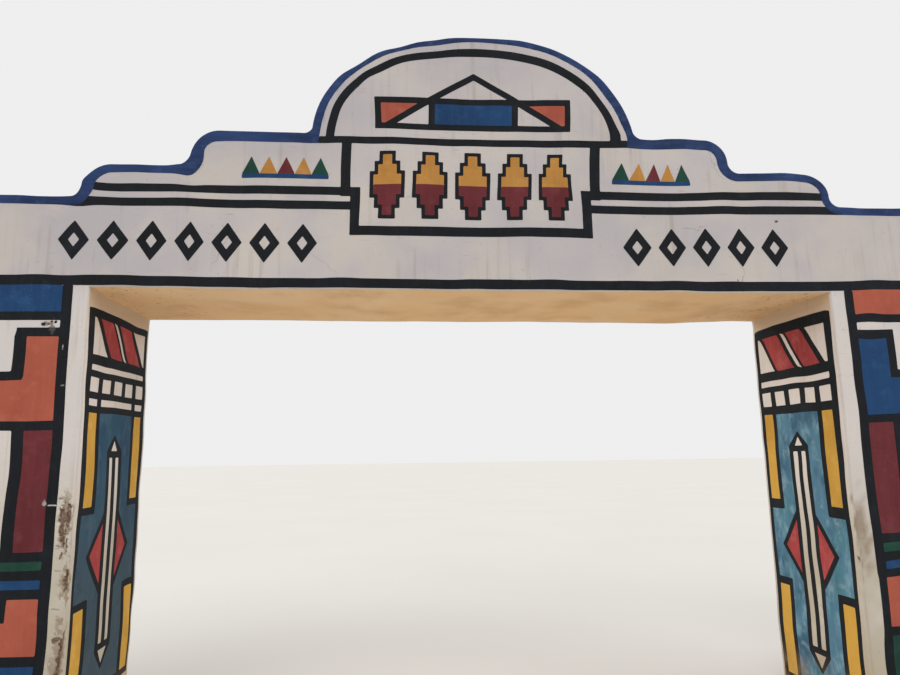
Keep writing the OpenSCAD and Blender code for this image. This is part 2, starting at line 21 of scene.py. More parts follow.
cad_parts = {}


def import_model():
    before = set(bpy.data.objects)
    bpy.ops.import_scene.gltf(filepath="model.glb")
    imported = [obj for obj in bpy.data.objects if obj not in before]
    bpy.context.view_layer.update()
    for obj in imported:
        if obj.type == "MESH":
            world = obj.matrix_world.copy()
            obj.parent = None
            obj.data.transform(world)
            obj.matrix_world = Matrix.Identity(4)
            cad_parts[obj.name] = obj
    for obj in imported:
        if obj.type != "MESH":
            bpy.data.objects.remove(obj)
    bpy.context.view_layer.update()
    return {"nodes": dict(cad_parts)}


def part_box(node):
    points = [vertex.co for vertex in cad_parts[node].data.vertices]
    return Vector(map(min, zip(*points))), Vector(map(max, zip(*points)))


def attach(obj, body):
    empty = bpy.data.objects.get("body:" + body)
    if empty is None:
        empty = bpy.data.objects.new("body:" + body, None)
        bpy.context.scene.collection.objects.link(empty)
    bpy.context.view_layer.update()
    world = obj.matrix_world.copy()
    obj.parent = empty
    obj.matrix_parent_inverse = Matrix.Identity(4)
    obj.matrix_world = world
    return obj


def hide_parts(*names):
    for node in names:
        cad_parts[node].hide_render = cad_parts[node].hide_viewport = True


LOG = logging.getLogger("gateway")
MM = 0.001
TINY = 1e-6
SIDES = ("left", "right")
FACES = ("front", "rear")
# Radius that the brush left at the corners of the painted fields
CORNER = 6 * MM
# Colours that more than one finish shows
WASH = "#c1bab9"
DUST = "#a5835f"
UNDERCOAT = "#684c3e"
Socket = bpy.types.NodeSocket
Colour = tuple[float, float, float, float]


def linear(hex_colour: str) -> Colour:
    """Turns an sRGB hex colour into the linear colour that the shaders use.

    Args:
        hex_colour: Six hex digits after a hash sign.

    Returns:
        Red, green, blue and an opaque alpha.
    """
    parts = [int(hex_colour[i : i + 2], 16) / 255 for i in (1, 3, 5)]
    red, green, blue = (p / 12.92 if p <= 0.04045 else ((p + 0.055) / 1.055) ** 2.4 for p in parts)
    return red, green, blue, 1.0


def ease(value: np.ndarray) -> np.ndarray:
    """Turns a ramp, held between 0 and 1, into a smooth step."""
    held = np.clip(value, 0.0, 1.0)
    return held * held * (3 - 2 * held)


def tabled(kind: type, table: dict[Enum, Sequence[tuple]]) -> tuple:
    """Makes one object from each row, where the rows of a table are grouped by their first field."""
    return tuple(kind(shared, *row) for shared, rows in table.items() for row in rows)


class Trace(Enum):
    """What the mesh of a coat carries for its finish, by the name of the attribute."""

    WEAR = "wear"
    STAIN = "stain"
    SHELTER = "shelter"
    SPECK = "speck"


class Coat(Enum):
    """What a piece is coated with, by the name of the record's material slot."""

    BRICK = "brick"
    CONCRETE = "concrete"
    PLASTER = "wall_plaster"
    SOFFIT = "soffit_plaster"
    COPING = "navy_coping"
    BLACK = "black_paint"
    BLUE = "blue_paint"
    ORANGE = "orange_paint"
    MAROON = "maroon_paint"
    GREEN = "green_paint"
    OCHRE = "ochre_paint"
    RED = "red_paint"
    SKY_BLUE = "sky_blue_paint"
    YELLOW = "yellow_paint"


@dataclass(frozen=True)
class SettingOut:
    """Main levels and faces of the gateway, read from the frame."""

    opening_half: float
    total_half: float
    soffit: float
    face: float
    crest: float

    @classmethod
    def from_frame(cls) -> "SettingOut":
        """Reads the levels from the boxes of the CAD nodes."""
        return cls(
            opening_half=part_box("right_jamb_plaster")[0].x,
            total_half=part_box("right_end_plaster")[1].x,
            soffit=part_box("soffit_plaster")[0].z,
            face=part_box("rear_beam_plaster")[1].y,
            crest=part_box("gable_coping")[1].z,
        )


@dataclass(frozen=True)
class LatticeNoise:
    """Smooth repeatable noise that blends random vectors on a lattice."""

    seed: int
    cells: int = 32
    table: np.ndarray = field(init=False, repr=False, compare=False)

    def __post_init__(self) -> None:
        """Fills the lattice."""
        draw = np.random.default_rng(self.seed)
        object.__setattr__(self, "table", draw.uniform(-1, 1, (self.cells,) * 3 + (3,)))

    def at(self, points: np.ndarray, wavelength: float) -> np.ndarray:
        """Samples the noise.

        Args:
            points: Places, one row each, in metres.
            wavelength: Distance between lattice points, in metres.

        Returns:
            Three values for each place, each between -1 and 1.
        """
        cell = points / wavelength
        low = np.floor(cell).astype(int)
        part = cell - low
        eased = part**3 * (part * (part * 6 - 15) + 10)
        total = np.zeros_like(points)
        for corner in itertools.product((0, 1), repeat=3):
            weight = np.prod(np.where(corner, eased, 1 - eased), axis=1)
            index = (low + corner) % self.cells
            total += weight[:, None] * self.table[index[:, 0], index[:, 1], index[:, 2]]
        return total


class Side(Enum):
    """Side of the passage, as the sign of X."""

    LEFT = -1
    RIGHT = 1


@dataclass(frozen=True)
class Mark:
    """A place near a pier's front arris that is worn or stained.

    The place across is measured around the arris: negative on the front face beyond the arris,
    positive in the passage or on the beam above it. Lengths are in metres. The lean is how far
    it slants across for each metre up. The fray is how ragged its edge is and the edge is how
    wide it fades, both as shares of its size.
    """

    side: Side
    across: float
    height: float
    half_across: float
    half_height: float
    depth: float
    lean: float = 0.0
    most: float = 1.0
    fray: float = 0.75
    edge: float = 0.4

    def reach(self, across: np.ndarray, height: np.ndarray, ragged: np.ndarray) -> np.ndarray:
        """Gives how strong the mark is at each place.

        Args:
            across: Places around the arris.
            height: Heights of the places.
            ragged: Noise that frays the mark's edge.

        Returns:
            0 outside the mark and its most in the middle.
        """
        side = (across - self.across - self.lean * (height - self.height)) / self.half_across
        rise = (height - self.height) / self.half_height
        return self.most * ease((1.0 - np.hypot(side, rise) + self.fray * ragged) / self.edge)


# Plaster that is chipped or worn away
PATCHES: tuple[Mark, ...] = tabled(Mark, {
    Side.LEFT: (
        (-0.053, 1.385, 0.026, 0.130, 0.012, -0.10), (-0.022, 1.430, 0.018, 0.080, 0.010),
        (-0.004, 1.075, 0.022, 0.080, 0.013, 0.15), (-0.050, 1.205, 0.008, 0.024, 0.005, 0.3),
        (-0.020, 1.280, 0.008, 0.040, 0.005), (-0.006, 0.640, 0.026, 0.170, 0.013, 0.10),
        (-0.045, 0.745, 0.018, 0.034, 0.008, 0.8), (-0.220, 2.562, 0.048, 0.016, 0.004, 0.0, 0.45),
        (-0.130, 2.418, 0.006, 0.022, 0.003, 0.0, 0.32), (-0.122, 2.184, 0.018, 0.007, 0.001, 0.0, 0.16),
        (-0.112, 1.488, 0.036, 0.004, 0.001, 0.0, 0.35), (-0.172, 1.502, 0.014, 0.022, 0.001, 0.0, 0.20),
    ),
    Side.RIGHT: (
        (0.320, 3.280, 0.016, 0.010, 0.008), (0.022, 1.090, 0.014, 0.014, 0.005),
    ),
})

# Dirt around the worn places
STAINS: tuple[Mark, ...] = tabled(Mark, {
    Side.LEFT: (
        (-0.040, 1.400, 0.050, 0.200, 0.0), (-0.005, 1.060, 0.045, 0.130, 0.0),
        (-0.015, 0.650, 0.060, 0.230, 0.0),
    ),
    Side.RIGHT: (
        (-0.030, 1.220, 0.070, 0.260, 0.0),
    ),
})

# Dark splashes and a drip around a chip, partly real marks and partly painted shade in its
# hollows, and three hairline cracks
SPECKS: tuple[Mark, ...] = tabled(Mark, {
    Side.LEFT: (
        (-0.203, 2.574, 0.011, 0.009, 0.0), (-0.187, 2.568, 0.013, 0.012, 0.0),
        (-0.251, 2.557, 0.014, 0.013, 0.0), (-0.222, 2.555, 0.010, 0.010, 0.0),
        (-0.203, 2.540, 0.022, 0.048, 0.0, 0.0, 0.55), (-0.235, 2.550, 0.026, 0.014, 0.0, 0.0, 0.4),
        (-0.060, 1.258, 0.030, 0.004, 0.0, 0.0, 0.5), (-0.060, 1.119, 0.028, 0.004, 0.0, 0.0, 0.4),
        (-0.062, 0.910, 0.030, 0.004, 0.0, 0.0, 0.4),
    ),
})


# How far a move on a side of the passage reaches into the pier, and over what length it fades
# out below the soffit and before the arrises
JAMB_REACH = 0.12
JAMB_FADE = 0.1


class Face(Enum):
    """The plane that a stray place lies in, as the sign of X for the sides of the passage."""

    LEFT_JAMB = -1
    WALL = 0
    RIGHT_JAMB = 1

    def on(self, points: np.ndarray) -> np.ndarray:
        """Gives the place across and the height of each point, seen on this face."""
        return points[:, [0 if self is Face.WALL else 1, 2]]

    def moved(self, across: np.ndarray, up: np.ndarray, points: np.ndarray, plan: SettingOut) -> np.ndarray:
        """Turns a move on this face into a move in space, which fades out around a side of the passage.

        Args:
            across: Move across the face at each place, in metres.
            up: Move up the face.
            points: The places.
            plan: Levels and faces of the gateway.

        Returns:
            The move of each place.
        """
        if self is Face.WALL:
            return np.column_stack([across, np.zeros_like(across), up])
        beyond = np.abs(self.value * points[:, 0] - plan.opening_half)
        share = (1 - ease(beyond / JAMB_REACH)) * ease((plan.soffit - points[:, 2]) / JAMB_FADE)
        edge = ease((plan.face - np.abs(points[:, 1])) / JAMB_FADE)
        return np.column_stack([np.zeros_like(across), across * share * edge, up * share])


@dataclass(frozen=True)
class Stray:
    """Part of one face that was built or painted a little off its line."""

    face: Face

    def drift(self, places: np.ndarray) -> np.ndarray:
        """Gives the moves across the face and up it, in metres, at places on the face."""
        raise NotImplementedError

    def move(self, points: np.ndarray, plan: SettingOut) -> np.ndarray:
        """Gives how far each place is off its line.

        Args:
            points: Places on the CAD model.
            plan: Levels and faces of the gateway.

        Returns:
            The move of each place, in metres.
        """
        across, up = self.drift(self.face.on(points)).T
        return self.face.moved(across, up, points, plan)


@dataclass(frozen=True)
class Lean(Stray):
    """A place that is a little off its line.

    The place across is X on the wall and Y on a side of the passage. The place, its height and
    its reach are in metres, and the two moves are in millimetres and fade out around it.
    """

    across: float
    height: float
    reach: float
    sideways: float
    upward: float

    def drift(self, places: np.ndarray) -> np.ndarray:
        """Gives the moves, which fade out around the place."""
        away = np.sum((places - (self.across, self.height)) ** 2, axis=1)
        return (np.exp(-away / (2 * self.reach**2)) * MM)[:, None] * (self.sideways, self.upward)


@dataclass(frozen=True)
class Stroke(Stray):
    """A straight painted line or stripe that came out thicker or thinner than it was drawn.

    Its foot and its head are places on the face, in metres. Both its sides move outward by about
    the gain, in millimetres. The move ends at the reach to each side of its middle, and fades
    out beyond its foot and its head.
    """

    foot: tuple[float, float]
    head: tuple[float, float]
    reach: float
    gain: float
    fade: float = 0.04

    def drift(self, places: np.ndarray) -> np.ndarray:
        """Gives the moves of the stroke's two sides.

        Args:
            places: Places on the face.

        Returns:
            The moves across the face and up it, in metres.
        """
        run = np.subtract(self.head, self.foot)
        length = math.hypot(*run)
        run = run / length
        away = places - self.foot
        along, aside = away @ run, away @ (run[1], -run[0])
        share = ease(along / self.fade + 1) * ease((length - along) / self.fade + 1)
        share *= np.sin(math.pi * np.clip(aside / self.reach, -1, 1)) * self.gain * MM
        return share[:, None] * (run[1], -run[0])


@dataclass(frozen=True)
class Swell(Stray):
    """A stretch of the gable's edge where the coping came out wider than it was drawn.

    It follows an arc about its centre, in metres, from one angle above level to another, in
    degrees. What lies within its reach of the arc moves away from it by up to the gain, in
    millimetres.
    """

    centre: tuple[float, float]
    radius: float
    first: float
    last: float
    gain: float
    reach: float = 0.09
    fade: float = 25.0

    def drift(self, places: np.ndarray) -> np.ndarray:
        """Gives the moves of the coping's two edges.

        Args:
            places: Places on the face.

        Returns:
            The moves across the face and up it, in metres.
        """
        away = places - self.centre
        span = np.maximum(np.hypot(*away.T), self.reach)
        angle = np.degrees(np.arctan2(away[:, 1], math.copysign(1, self.centre[0]) * away[:, 0]))
        share = ease((angle - self.first) / self.fade + 1) * ease((self.last - angle) / self.fade + 1)
        aside = np.clip((span - self.radius) / self.reach, -1, 1)
        share *= np.sin(math.pi * aside) * self.gain * MM / span
        return share[:, None] * away


# Places that are off their line. Most of these rows weren't chosen by hand: another program
# fitted them to the edges of the mural and the coping in the photo, and they were rounded.
LEANS: tuple[Lean, ...] = tabled(Lean, {
    Face.WALL: (
        (-2.4, 3.0, 0.6, -5, -1), (-1.2, 3.0, 0.6, -11, -9), (0.0, 3.0, 0.6, -1, -11),
        (1.2, 3.0, 0.6, -8, -18), (2.4, 3.0, 0.6, 11, 8), (0.7, 4.5, 0.4, 32, 42), (-1.1, 4.2, 0.25, 31, -10),
        (1.9, 3.75, 0.25, -24, 21), (1.1, 3.75, 0.16, 31, 5), (-1.9, 3.75, 0.16, -16, -8),
        (0.9, 4.2, 0.16, -19, -14), (-2.7, 1.8, 0.4, 14, -5), (2.3, 2.4, 0.4, 0, -26),
        (1.7, 3.9, 0.16, -27, -6), (-0.5, 4.35, 0.16, -4, 8), (-2.7, 3.45, 0.16, -11, 1),
        (0.7, 3.6, 0.16, -19, -1), (0.5, 4.05, 0.16, 6, -11), (1.3, 3.9, 0.16, 18, 12),
        (2.3, 3.6, 0.16, -17, 6), (-1.7, 3.6, 0.16, -14, -6), (0.5, 3.3, 0.25, -7, 13),
        (0.1, 4.05, 0.25, 13, -2), (-2.3, 3.75, 0.16, 3, -10), (-1.85, 3.65, 0.05, -28, 24),
        (-2.5, 3.45, 0.05, -24, 24), (-2.35, 3.5, 0.08, 23, -6), (2.2, 3.6, 0.08, -2, 11),
        (-0.5, 4.55, 0.08, 9, -25), (-0.45, 4.35, 0.12, -8, 14), (0.15, 4.35, 0.2, 2, -6),
        (1.65, 2.85, 0.2, 0, -10), (1.5, 3.8, 0.08, -1, 11), (-0.8, 4.4, 0.08, 5, -14),
        (1.2, 3.9, 0.08, 9, -12), (-0.25, 4.55, 0.08, 2, -12), (0.9, 4.15, 0.08, -8, -4),
        (1.0, 3.85, 0.05, 16, 4), (-0.6, 3.9, 0.12, 12, 5), (-2.85, 1.95, 0.2, -13, 2),
        (-0.9, 3.75, 0.12, -8, 3), (-2.5, 3.3, 0.05, 7, -12), (-1.8, 3.55, 0.05, 3, -15),
        (-0.3, 3.45, 0.2, 0, 17), (2.55, 2.55, 0.12, -3, 10), (-2.55, 1.0, 0.16, 20, -5),
        (2.55, 1.15, 0.16, 9, -18), (-0.7, 4.25, 0.06, -9, 14), (-2.7, 1.75, 0.16, 9, -4),
        (2.65, 2.45, 0.06, -5, -14), (2.65, 2.65, 0.06, 2, 11), (-1.85, 3.55, 0.06, 9, -9),
        (-1.85, 3.4, 0.16, 2, 6), (2.5, 1.95, 0.1, 6, -3), (-2.6, 1.3, 0.1, 8, -3),
        (-2.57, 0.55, 0.1, 18, -3), (-2.57, 0.74, 0.1, 18, -3), (-2.55, 1.0, 0.1, -6, 1),
        (2.5, 0.8, 0.2, 6, -4), (2.5, 1.05, 0.1, -4, -10), (2.56, 0.45, 0.1, -16, 0),
        (-0.95, 3.96, 0.06, 7, 0), (0.98, 3.87, 0.05, 13, 0), (0.96, 4.2, 0.12, 4, 2),
    ),
    Face.LEFT_JAMB: (
        (0.0, 1.0, 0.6, 1, -15), (0.0, 2.0, 0.6, -12, 6), (0.0, 2.7, 0.35, 18, 15),
        (0.36, 0.55, 0.22, 37, -3), (0.45, 1.04, 0.22, -18, 21), (-0.45, 2.37, 0.22, 22, -20),
        (-0.36, 1.04, 0.14, -23, 0), (-0.45, 1.53, 0.22, 17, -11), (0.09, 2.3, 0.14, 12, -12),
        (-0.18, 0.62, 0.14, 22, -6), (0.09, 1.39, 0.14, 13, 4), (-0.18, 2.3, 0.09, -3, -14),
        (0.27, 2.58, 0.09, -15, -2), (0.45, 2.65, 0.09, 3, 14), (0.45, 1.95, 0.09, -14, -1),
        (-0.27, 0.9, 0.06, 3, 8), (0.36, 0.9, 0.09, 0, 14), (-0.09, 1.81, 0.14, -14, 6),
        (-0.18, 2.09, 0.14, -14, -5), (0.45, 1.74, 0.22, -9, 14),
    ),
    Face.RIGHT_JAMB: (
        (0.0, 1.0, 0.6, -3, -1), (0.0, 2.0, 0.6, 7, 19), (0.0, 2.7, 0.35, 11, 20), (0.36, 1.18, 0.22, 11, 8),
        (0.45, 2.58, 0.22, -3, 18), (-0.18, 2.3, 0.14, -8, -15), (0.0, 0.55, 0.14, -13, 3),
        (-0.18, 0.9, 0.09, -10, -7), (0.36, 0.69, 0.14, -11, 5), (-0.09, 1.6, 0.22, -2, -8),
        (-0.09, 2.09, 0.09, -9, 7), (0.45, 2.02, 0.14, -2, 12), (0.09, 2.44, 0.09, 7, -9),
        (-0.45, 1.25, 0.35, -3, -19), (-0.09, 0.83, 0.09, -10, -4), (0.09, 1.74, 0.14, 2, -9),
        (0.09, 0.83, 0.09, 7, -5), (-0.45, 2.02, 0.09, 7, 3), (-0.45, 1.67, 0.09, -8, 0),
        (-0.09, 2.16, 0.06, -8, 0),
    ),
})

# Lines and stripes that came out thicker or thinner
STROKES: tuple[Stroke, ...] = tabled(Stroke, {
    Face.LEFT_JAMB: (
        ((-0.028, 0.610), (-0.028, 1.756), 0.048, -7), ((0.068, 0.610), (0.068, 1.756), 0.048, -7),
        ((0.100, 2.396), (-0.090, 2.636), 0.043, -8), ((0.405, 2.396), (0.235, 2.610), 0.045, 8),
        ((-0.415, 2.374), (0.445, 2.374), 0.044, 9), ((-0.450, 2.658), (0.460, 2.658), 0.044, 5),
    ),
    Face.RIGHT_JAMB: (
        ((-0.028, 0.395), (-0.028, 1.733), 0.048, -4), ((0.068, 0.395), (0.068, 1.733), 0.048, -3),
        ((-0.090, 2.336), (0.100, 2.608), 0.043, -7), ((-0.450, 2.636), (0.460, 2.636), 0.056, 11),
        ((-0.415, 2.308), (0.445, 2.308), 0.050, 7), ((-0.415, 2.207), (0.445, 2.207), 0.045, -6),
        ((-0.415, 2.041), (0.445, 2.041), 0.050, 4), ((-0.415, 1.338), (-0.263, 1.338), 0.050, 7),
        ((0.303, 1.338), (0.445, 1.338), 0.050, 7),
    ),
    Face.WALL: (
        ((-2.780, 2.242), (-2.780, 2.481), 0.070, 10), ((-2.752, 1.225), (-2.752, 1.921), 0.070, 7),
        ((2.526, 0.620), (2.526, 0.950), 0.062, -6),
    ),
})

# The haunches of the gable's coping
SWELLS: tuple[Swell, ...] = tabled(Swell, {
    Face.WALL: (
        ((-0.573, 3.905), 0.495, 0.0, 42.0, 9.5), ((0.573, 3.905), 0.489, 0.0, 42.0, 12),
    ),
})


@dataclass(frozen=True)
class HandWork:
    """How the built gateway strays from its drawing: uneven coats, soft arrises and wear.

    Lengths are in metres. A wave is the distance over which the unevenness changes, and a sway is
    how far it goes along X, Y and Z. The ends are drawn in and the crest is eased down, so that
    nothing leaves the box of the CAD model.
    """

    plan: SettingOut
    slow: LatticeNoise = LatticeNoise(11)
    quick: LatticeNoise = LatticeNoise(23)
    slow_wave: float = 0.75
    quick_wave: float = 0.17
    slow_sway: tuple[float, float, float] = (5.0 * MM, 2.6 * MM, 5.5 * MM)
    quick_sway: tuple[float, float, float] = (3.2 * MM, 1.2 * MM, 3.2 * MM)
    end_inset: float = 9.5 * MM
    end_reach: float = 0.45
    end_fade: float = 0.4
    foot_fade: float = 0.25
    crest_start: float = 12 * MM
    crest_room: float = 11.5 * MM
    arris: float = 12 * MM
    arris_fade: float = 80 * MM
    arris_wave: float = 0.13
    arris_stretch: tuple[float, float, float] = (1, 0.2, 1)
    arris_spread: float = 0.25
    arris_cuts: tuple[float, ...] = (0.35, 0.6, 0.8, 1.0)
    least_radius: float = 0.01 * MM
    paint_share: float = 0.3
    fray_waves: tuple[float, float] = (0.022, 0.009)
    fray_shares: tuple[float, float] = (0.6, 0.4)
    pit_wave: float = 0.012
    pit_depths: tuple[float, float] = (0.8, 0.4)
    loss_fade: float = 20 * MM
    least_shelter: float = 0.08
    shelter_start: float = 0.30
    shelter_fade: float = 0.25

    def corner_steps(self) -> tuple[float, ...]:
        """Distances from an arris at which a coat is cut so that it can turn the corner."""
        return tuple(self.arris * share for share in self.arris_cuts)

    def turned(
        self, inside: np.ndarray, behind: np.ndarray, radius: np.ndarray
    ) -> tuple[np.ndarray, np.ndarray]:
        """Rounds the corner between two faces.

        Args:
            inside: Depth below the first face.
            behind: Depth below the second face.
            radius: Radius of the rounding, which may be 0.

        Returns:
            Both depths after the rounding.
        """
        first, second = radius - inside, radius - behind
        nearest = np.maximum(first, second)
        rounded = (first > 0) & (second > 0) & (radius > self.least_radius)
        share = np.divide(nearest, np.hypot(first, second), out=np.ones(len(nearest)), where=rounded)
        return radius - first * share, radius - second * share

    def rounded(self, points: np.ndarray) -> np.ndarray:
        """Thins the paint to its real thickness and rounds the arrises.

        Args:
            points: Places on the CAD model.

        Returns:
            The places after both.
        """
        plan = self.plan
        out = points.copy()
        side, front = np.sign(points[:, 0]), np.sign(points[:, 1])
        wide, deep, high = np.abs(points[:, 0]), np.abs(points[:, 1]), points[:, 2]
        proud = deep > plan.face
        deep = np.where(proud, plan.face + self.paint_share * (deep - plan.face), deep)
        in_passage = (wide < plan.opening_half) & (high < plan.soffit - TINY)
        raised = plan.opening_half - wide
        wide = np.where(in_passage, plan.opening_half - self.paint_share * raised, wide)
        past = wide > plan.total_half
        wide = np.where(past, plan.total_half + self.paint_share * (wide - plan.total_half), wide)
        # The radius varies along the arris, and is the same on both its faces
        change = self.quick.at(points * self.arris_stretch, self.arris_wave)[:, 0]
        uneven = 1 - self.arris_spread + self.arris_spread * change
        # Arris between a pier's face and the passage
        radius = self.arris * uneven * ease((plan.soffit - high) / self.arris_fade)
        near = (wide < plan.opening_half + 2 * self.arris) & (high < plan.soffit)
        u, v = self.turned(wide - plan.opening_half, plan.face - deep, np.where(near, radius, 0.0))
        wide, deep = np.where(near, plan.opening_half + u, wide), np.where(near, plan.face - v, deep)
        # Arris at each end of the gateway
        near = wide > plan.total_half - 2 * self.arris
        radius = np.where(near, self.arris * uneven, 0.0)
        u, v = self.turned(plan.total_half - wide, plan.face - deep, radius)
        wide, deep = np.where(near, plan.total_half - u, wide), np.where(near, plan.face - v, deep)
        # Arris between the beam's face and the soffit
        radius = self.arris * uneven * ease((plan.opening_half - wide) / self.arris_fade)
        near = (wide < plan.opening_half) & (high > plan.soffit - TINY)
        near &= high < plan.soffit + 2 * self.arris
        u, v = self.turned(high - plan.soffit, plan.face - deep, np.where(near, radius, 0.0))
        high, deep = np.where(near, plan.soffit + u, high), np.where(near, plan.face - v, deep)
        out[:, 0], out[:, 1], out[:, 2] = side * wide, front * deep, high
        return out

    def strayed(self, points: np.ndarray) -> np.ndarray:
        """Gives the unevenness of hand work, always inside the CAD model's box.

        Args:
            points: Places on the CAD model.

        Returns:
            The move of each place.
        """
        plan = self.plan
        slow, quick = self.slow.at(points, self.slow_wave), self.quick.at(points, self.quick_wave)
        move = np.array(self.slow_sway) * slow + np.array(self.quick_sway) * quick
        # A coat is never thicker than drawn, so its unevenness only goes inward
        relief = (self.slow_sway[1] + self.quick_sway[1] + move[:, 1]) / 2
        move[:, 1] = -points[:, 1] / plan.face * relief
        move += sum(place.move(points, plan) for place in (*LEANS, *STROKES, *SWELLS))
        ends = ease((np.abs(points[:, 0]) - plan.total_half + self.end_reach) / self.end_fade)
        move[:, 0] -= np.sign(points[:, 0]) * self.end_inset * ends
        move[:, 2] *= ease(points[:, 2] / self.foot_fade)
        # The top of the gable is eased down under the crest of the drawing
        over = np.maximum(points[:, 2] + move[:, 2] - (plan.crest - self.crest_start), 0.0)
        move[:, 2] -= over - self.crest_room * (1 - np.exp(-over / self.crest_room))
        return move

    def marked(self, points: np.ndarray, marks: Sequence[Mark]) -> tuple[np.ndarray, np.ndarray]:
        """Gives the marks near the front arrises of the passage.

        Args:
            points: Places on the CAD model.
            marks: The marks.

        Returns:
            Their strength from 0 to 1, and the depth of plaster that is lost.
        """
        plan = self.plan
        across = (points[:, 1] + plan.face) - (np.abs(points[:, 0]) - plan.opening_half)
        waves = zip((self.quick, self.slow), self.fray_waves, self.fray_shares)
        ragged = sum(noise.at(points, wave)[:, n] * share for n, (noise, wave, share) in enumerate(waves))
        strength, depth = np.zeros(len(points)), np.zeros(len(points))
        for mark in marks:
            here = (points[:, 0] * mark.side.value > 0) & (points[:, 1] < 0)
            reach = np.where(here, mark.reach(across, points[:, 2], ragged), 0.0)
            strength, depth = np.maximum(strength, reach), np.maximum(depth, mark.depth * reach)
        usual, change = self.pit_depths
        return strength, depth * (usual + change * self.slow.at(points, self.pit_wave)[:, 2])

    def hollowed(self, points: np.ndarray, depth: np.ndarray) -> np.ndarray:
        """Turns lost plaster into a move into the wall.

        Args:
            points: Places on the CAD model.
            depth: Depth of plaster lost at each.

        Returns:
            The move of each place.
        """
        plan = self.plan
        behind_face = 1 - ease((points[:, 1] + plan.face) / self.loss_fade)
        behind_jamb = 1 - ease((np.abs(points[:, 0]) - plan.opening_half) / self.loss_fade)
        move = np.zeros_like(points)
        move[:, 1] = depth * behind_face
        move[:, 0] = np.sign(points[:, 0]) * depth * behind_jamb * (points[:, 2] < plan.soffit)
        return move

    def shelter(self, points: np.ndarray) -> np.ndarray:
        """Gives how far a place is sheltered from rain and sky, in the passage and up under the beam.

        Args:
            points: Places on the CAD model.

        Returns:
            0 in the open and 1 under the beam.
        """
        plan = self.plan
        # The plaster's finish lays a buff by this that is partly painted warm bounce light, strongest up
        # under the beam
        within = np.abs(points[:, 0]) < plan.opening_half + MM
        within &= np.abs(points[:, 1]) < plan.face - self.loss_fade
        risen = ease((points[:, 2] - plan.soffit + self.shelter_start) / self.shelter_fade)
        return within * (self.least_shelter + (1 - self.least_shelter) * risen)

    def shape(self, points: np.ndarray) -> tuple[np.ndarray, dict[Trace, np.ndarray]]:
        """Moves places of the CAD model to where the built gateway has them.

        Args:
            points: Places on the CAD model.

        Returns:
            The moved places, and what the finish needs to know at each.
        """
        wear, depth = self.marked(points, PATCHES)
        stain, speck = self.marked(points, STAINS)[0], self.marked(points, SPECKS)[0]
        moved = self.rounded(points) + self.strayed(points) + self.hollowed(points, depth)
        return moved, {
            Trace.WEAR: wear,
            Trace.STAIN: stain,
            Trace.SPECK: speck,
            Trace.SHELTER: self.shelter(points),
        }


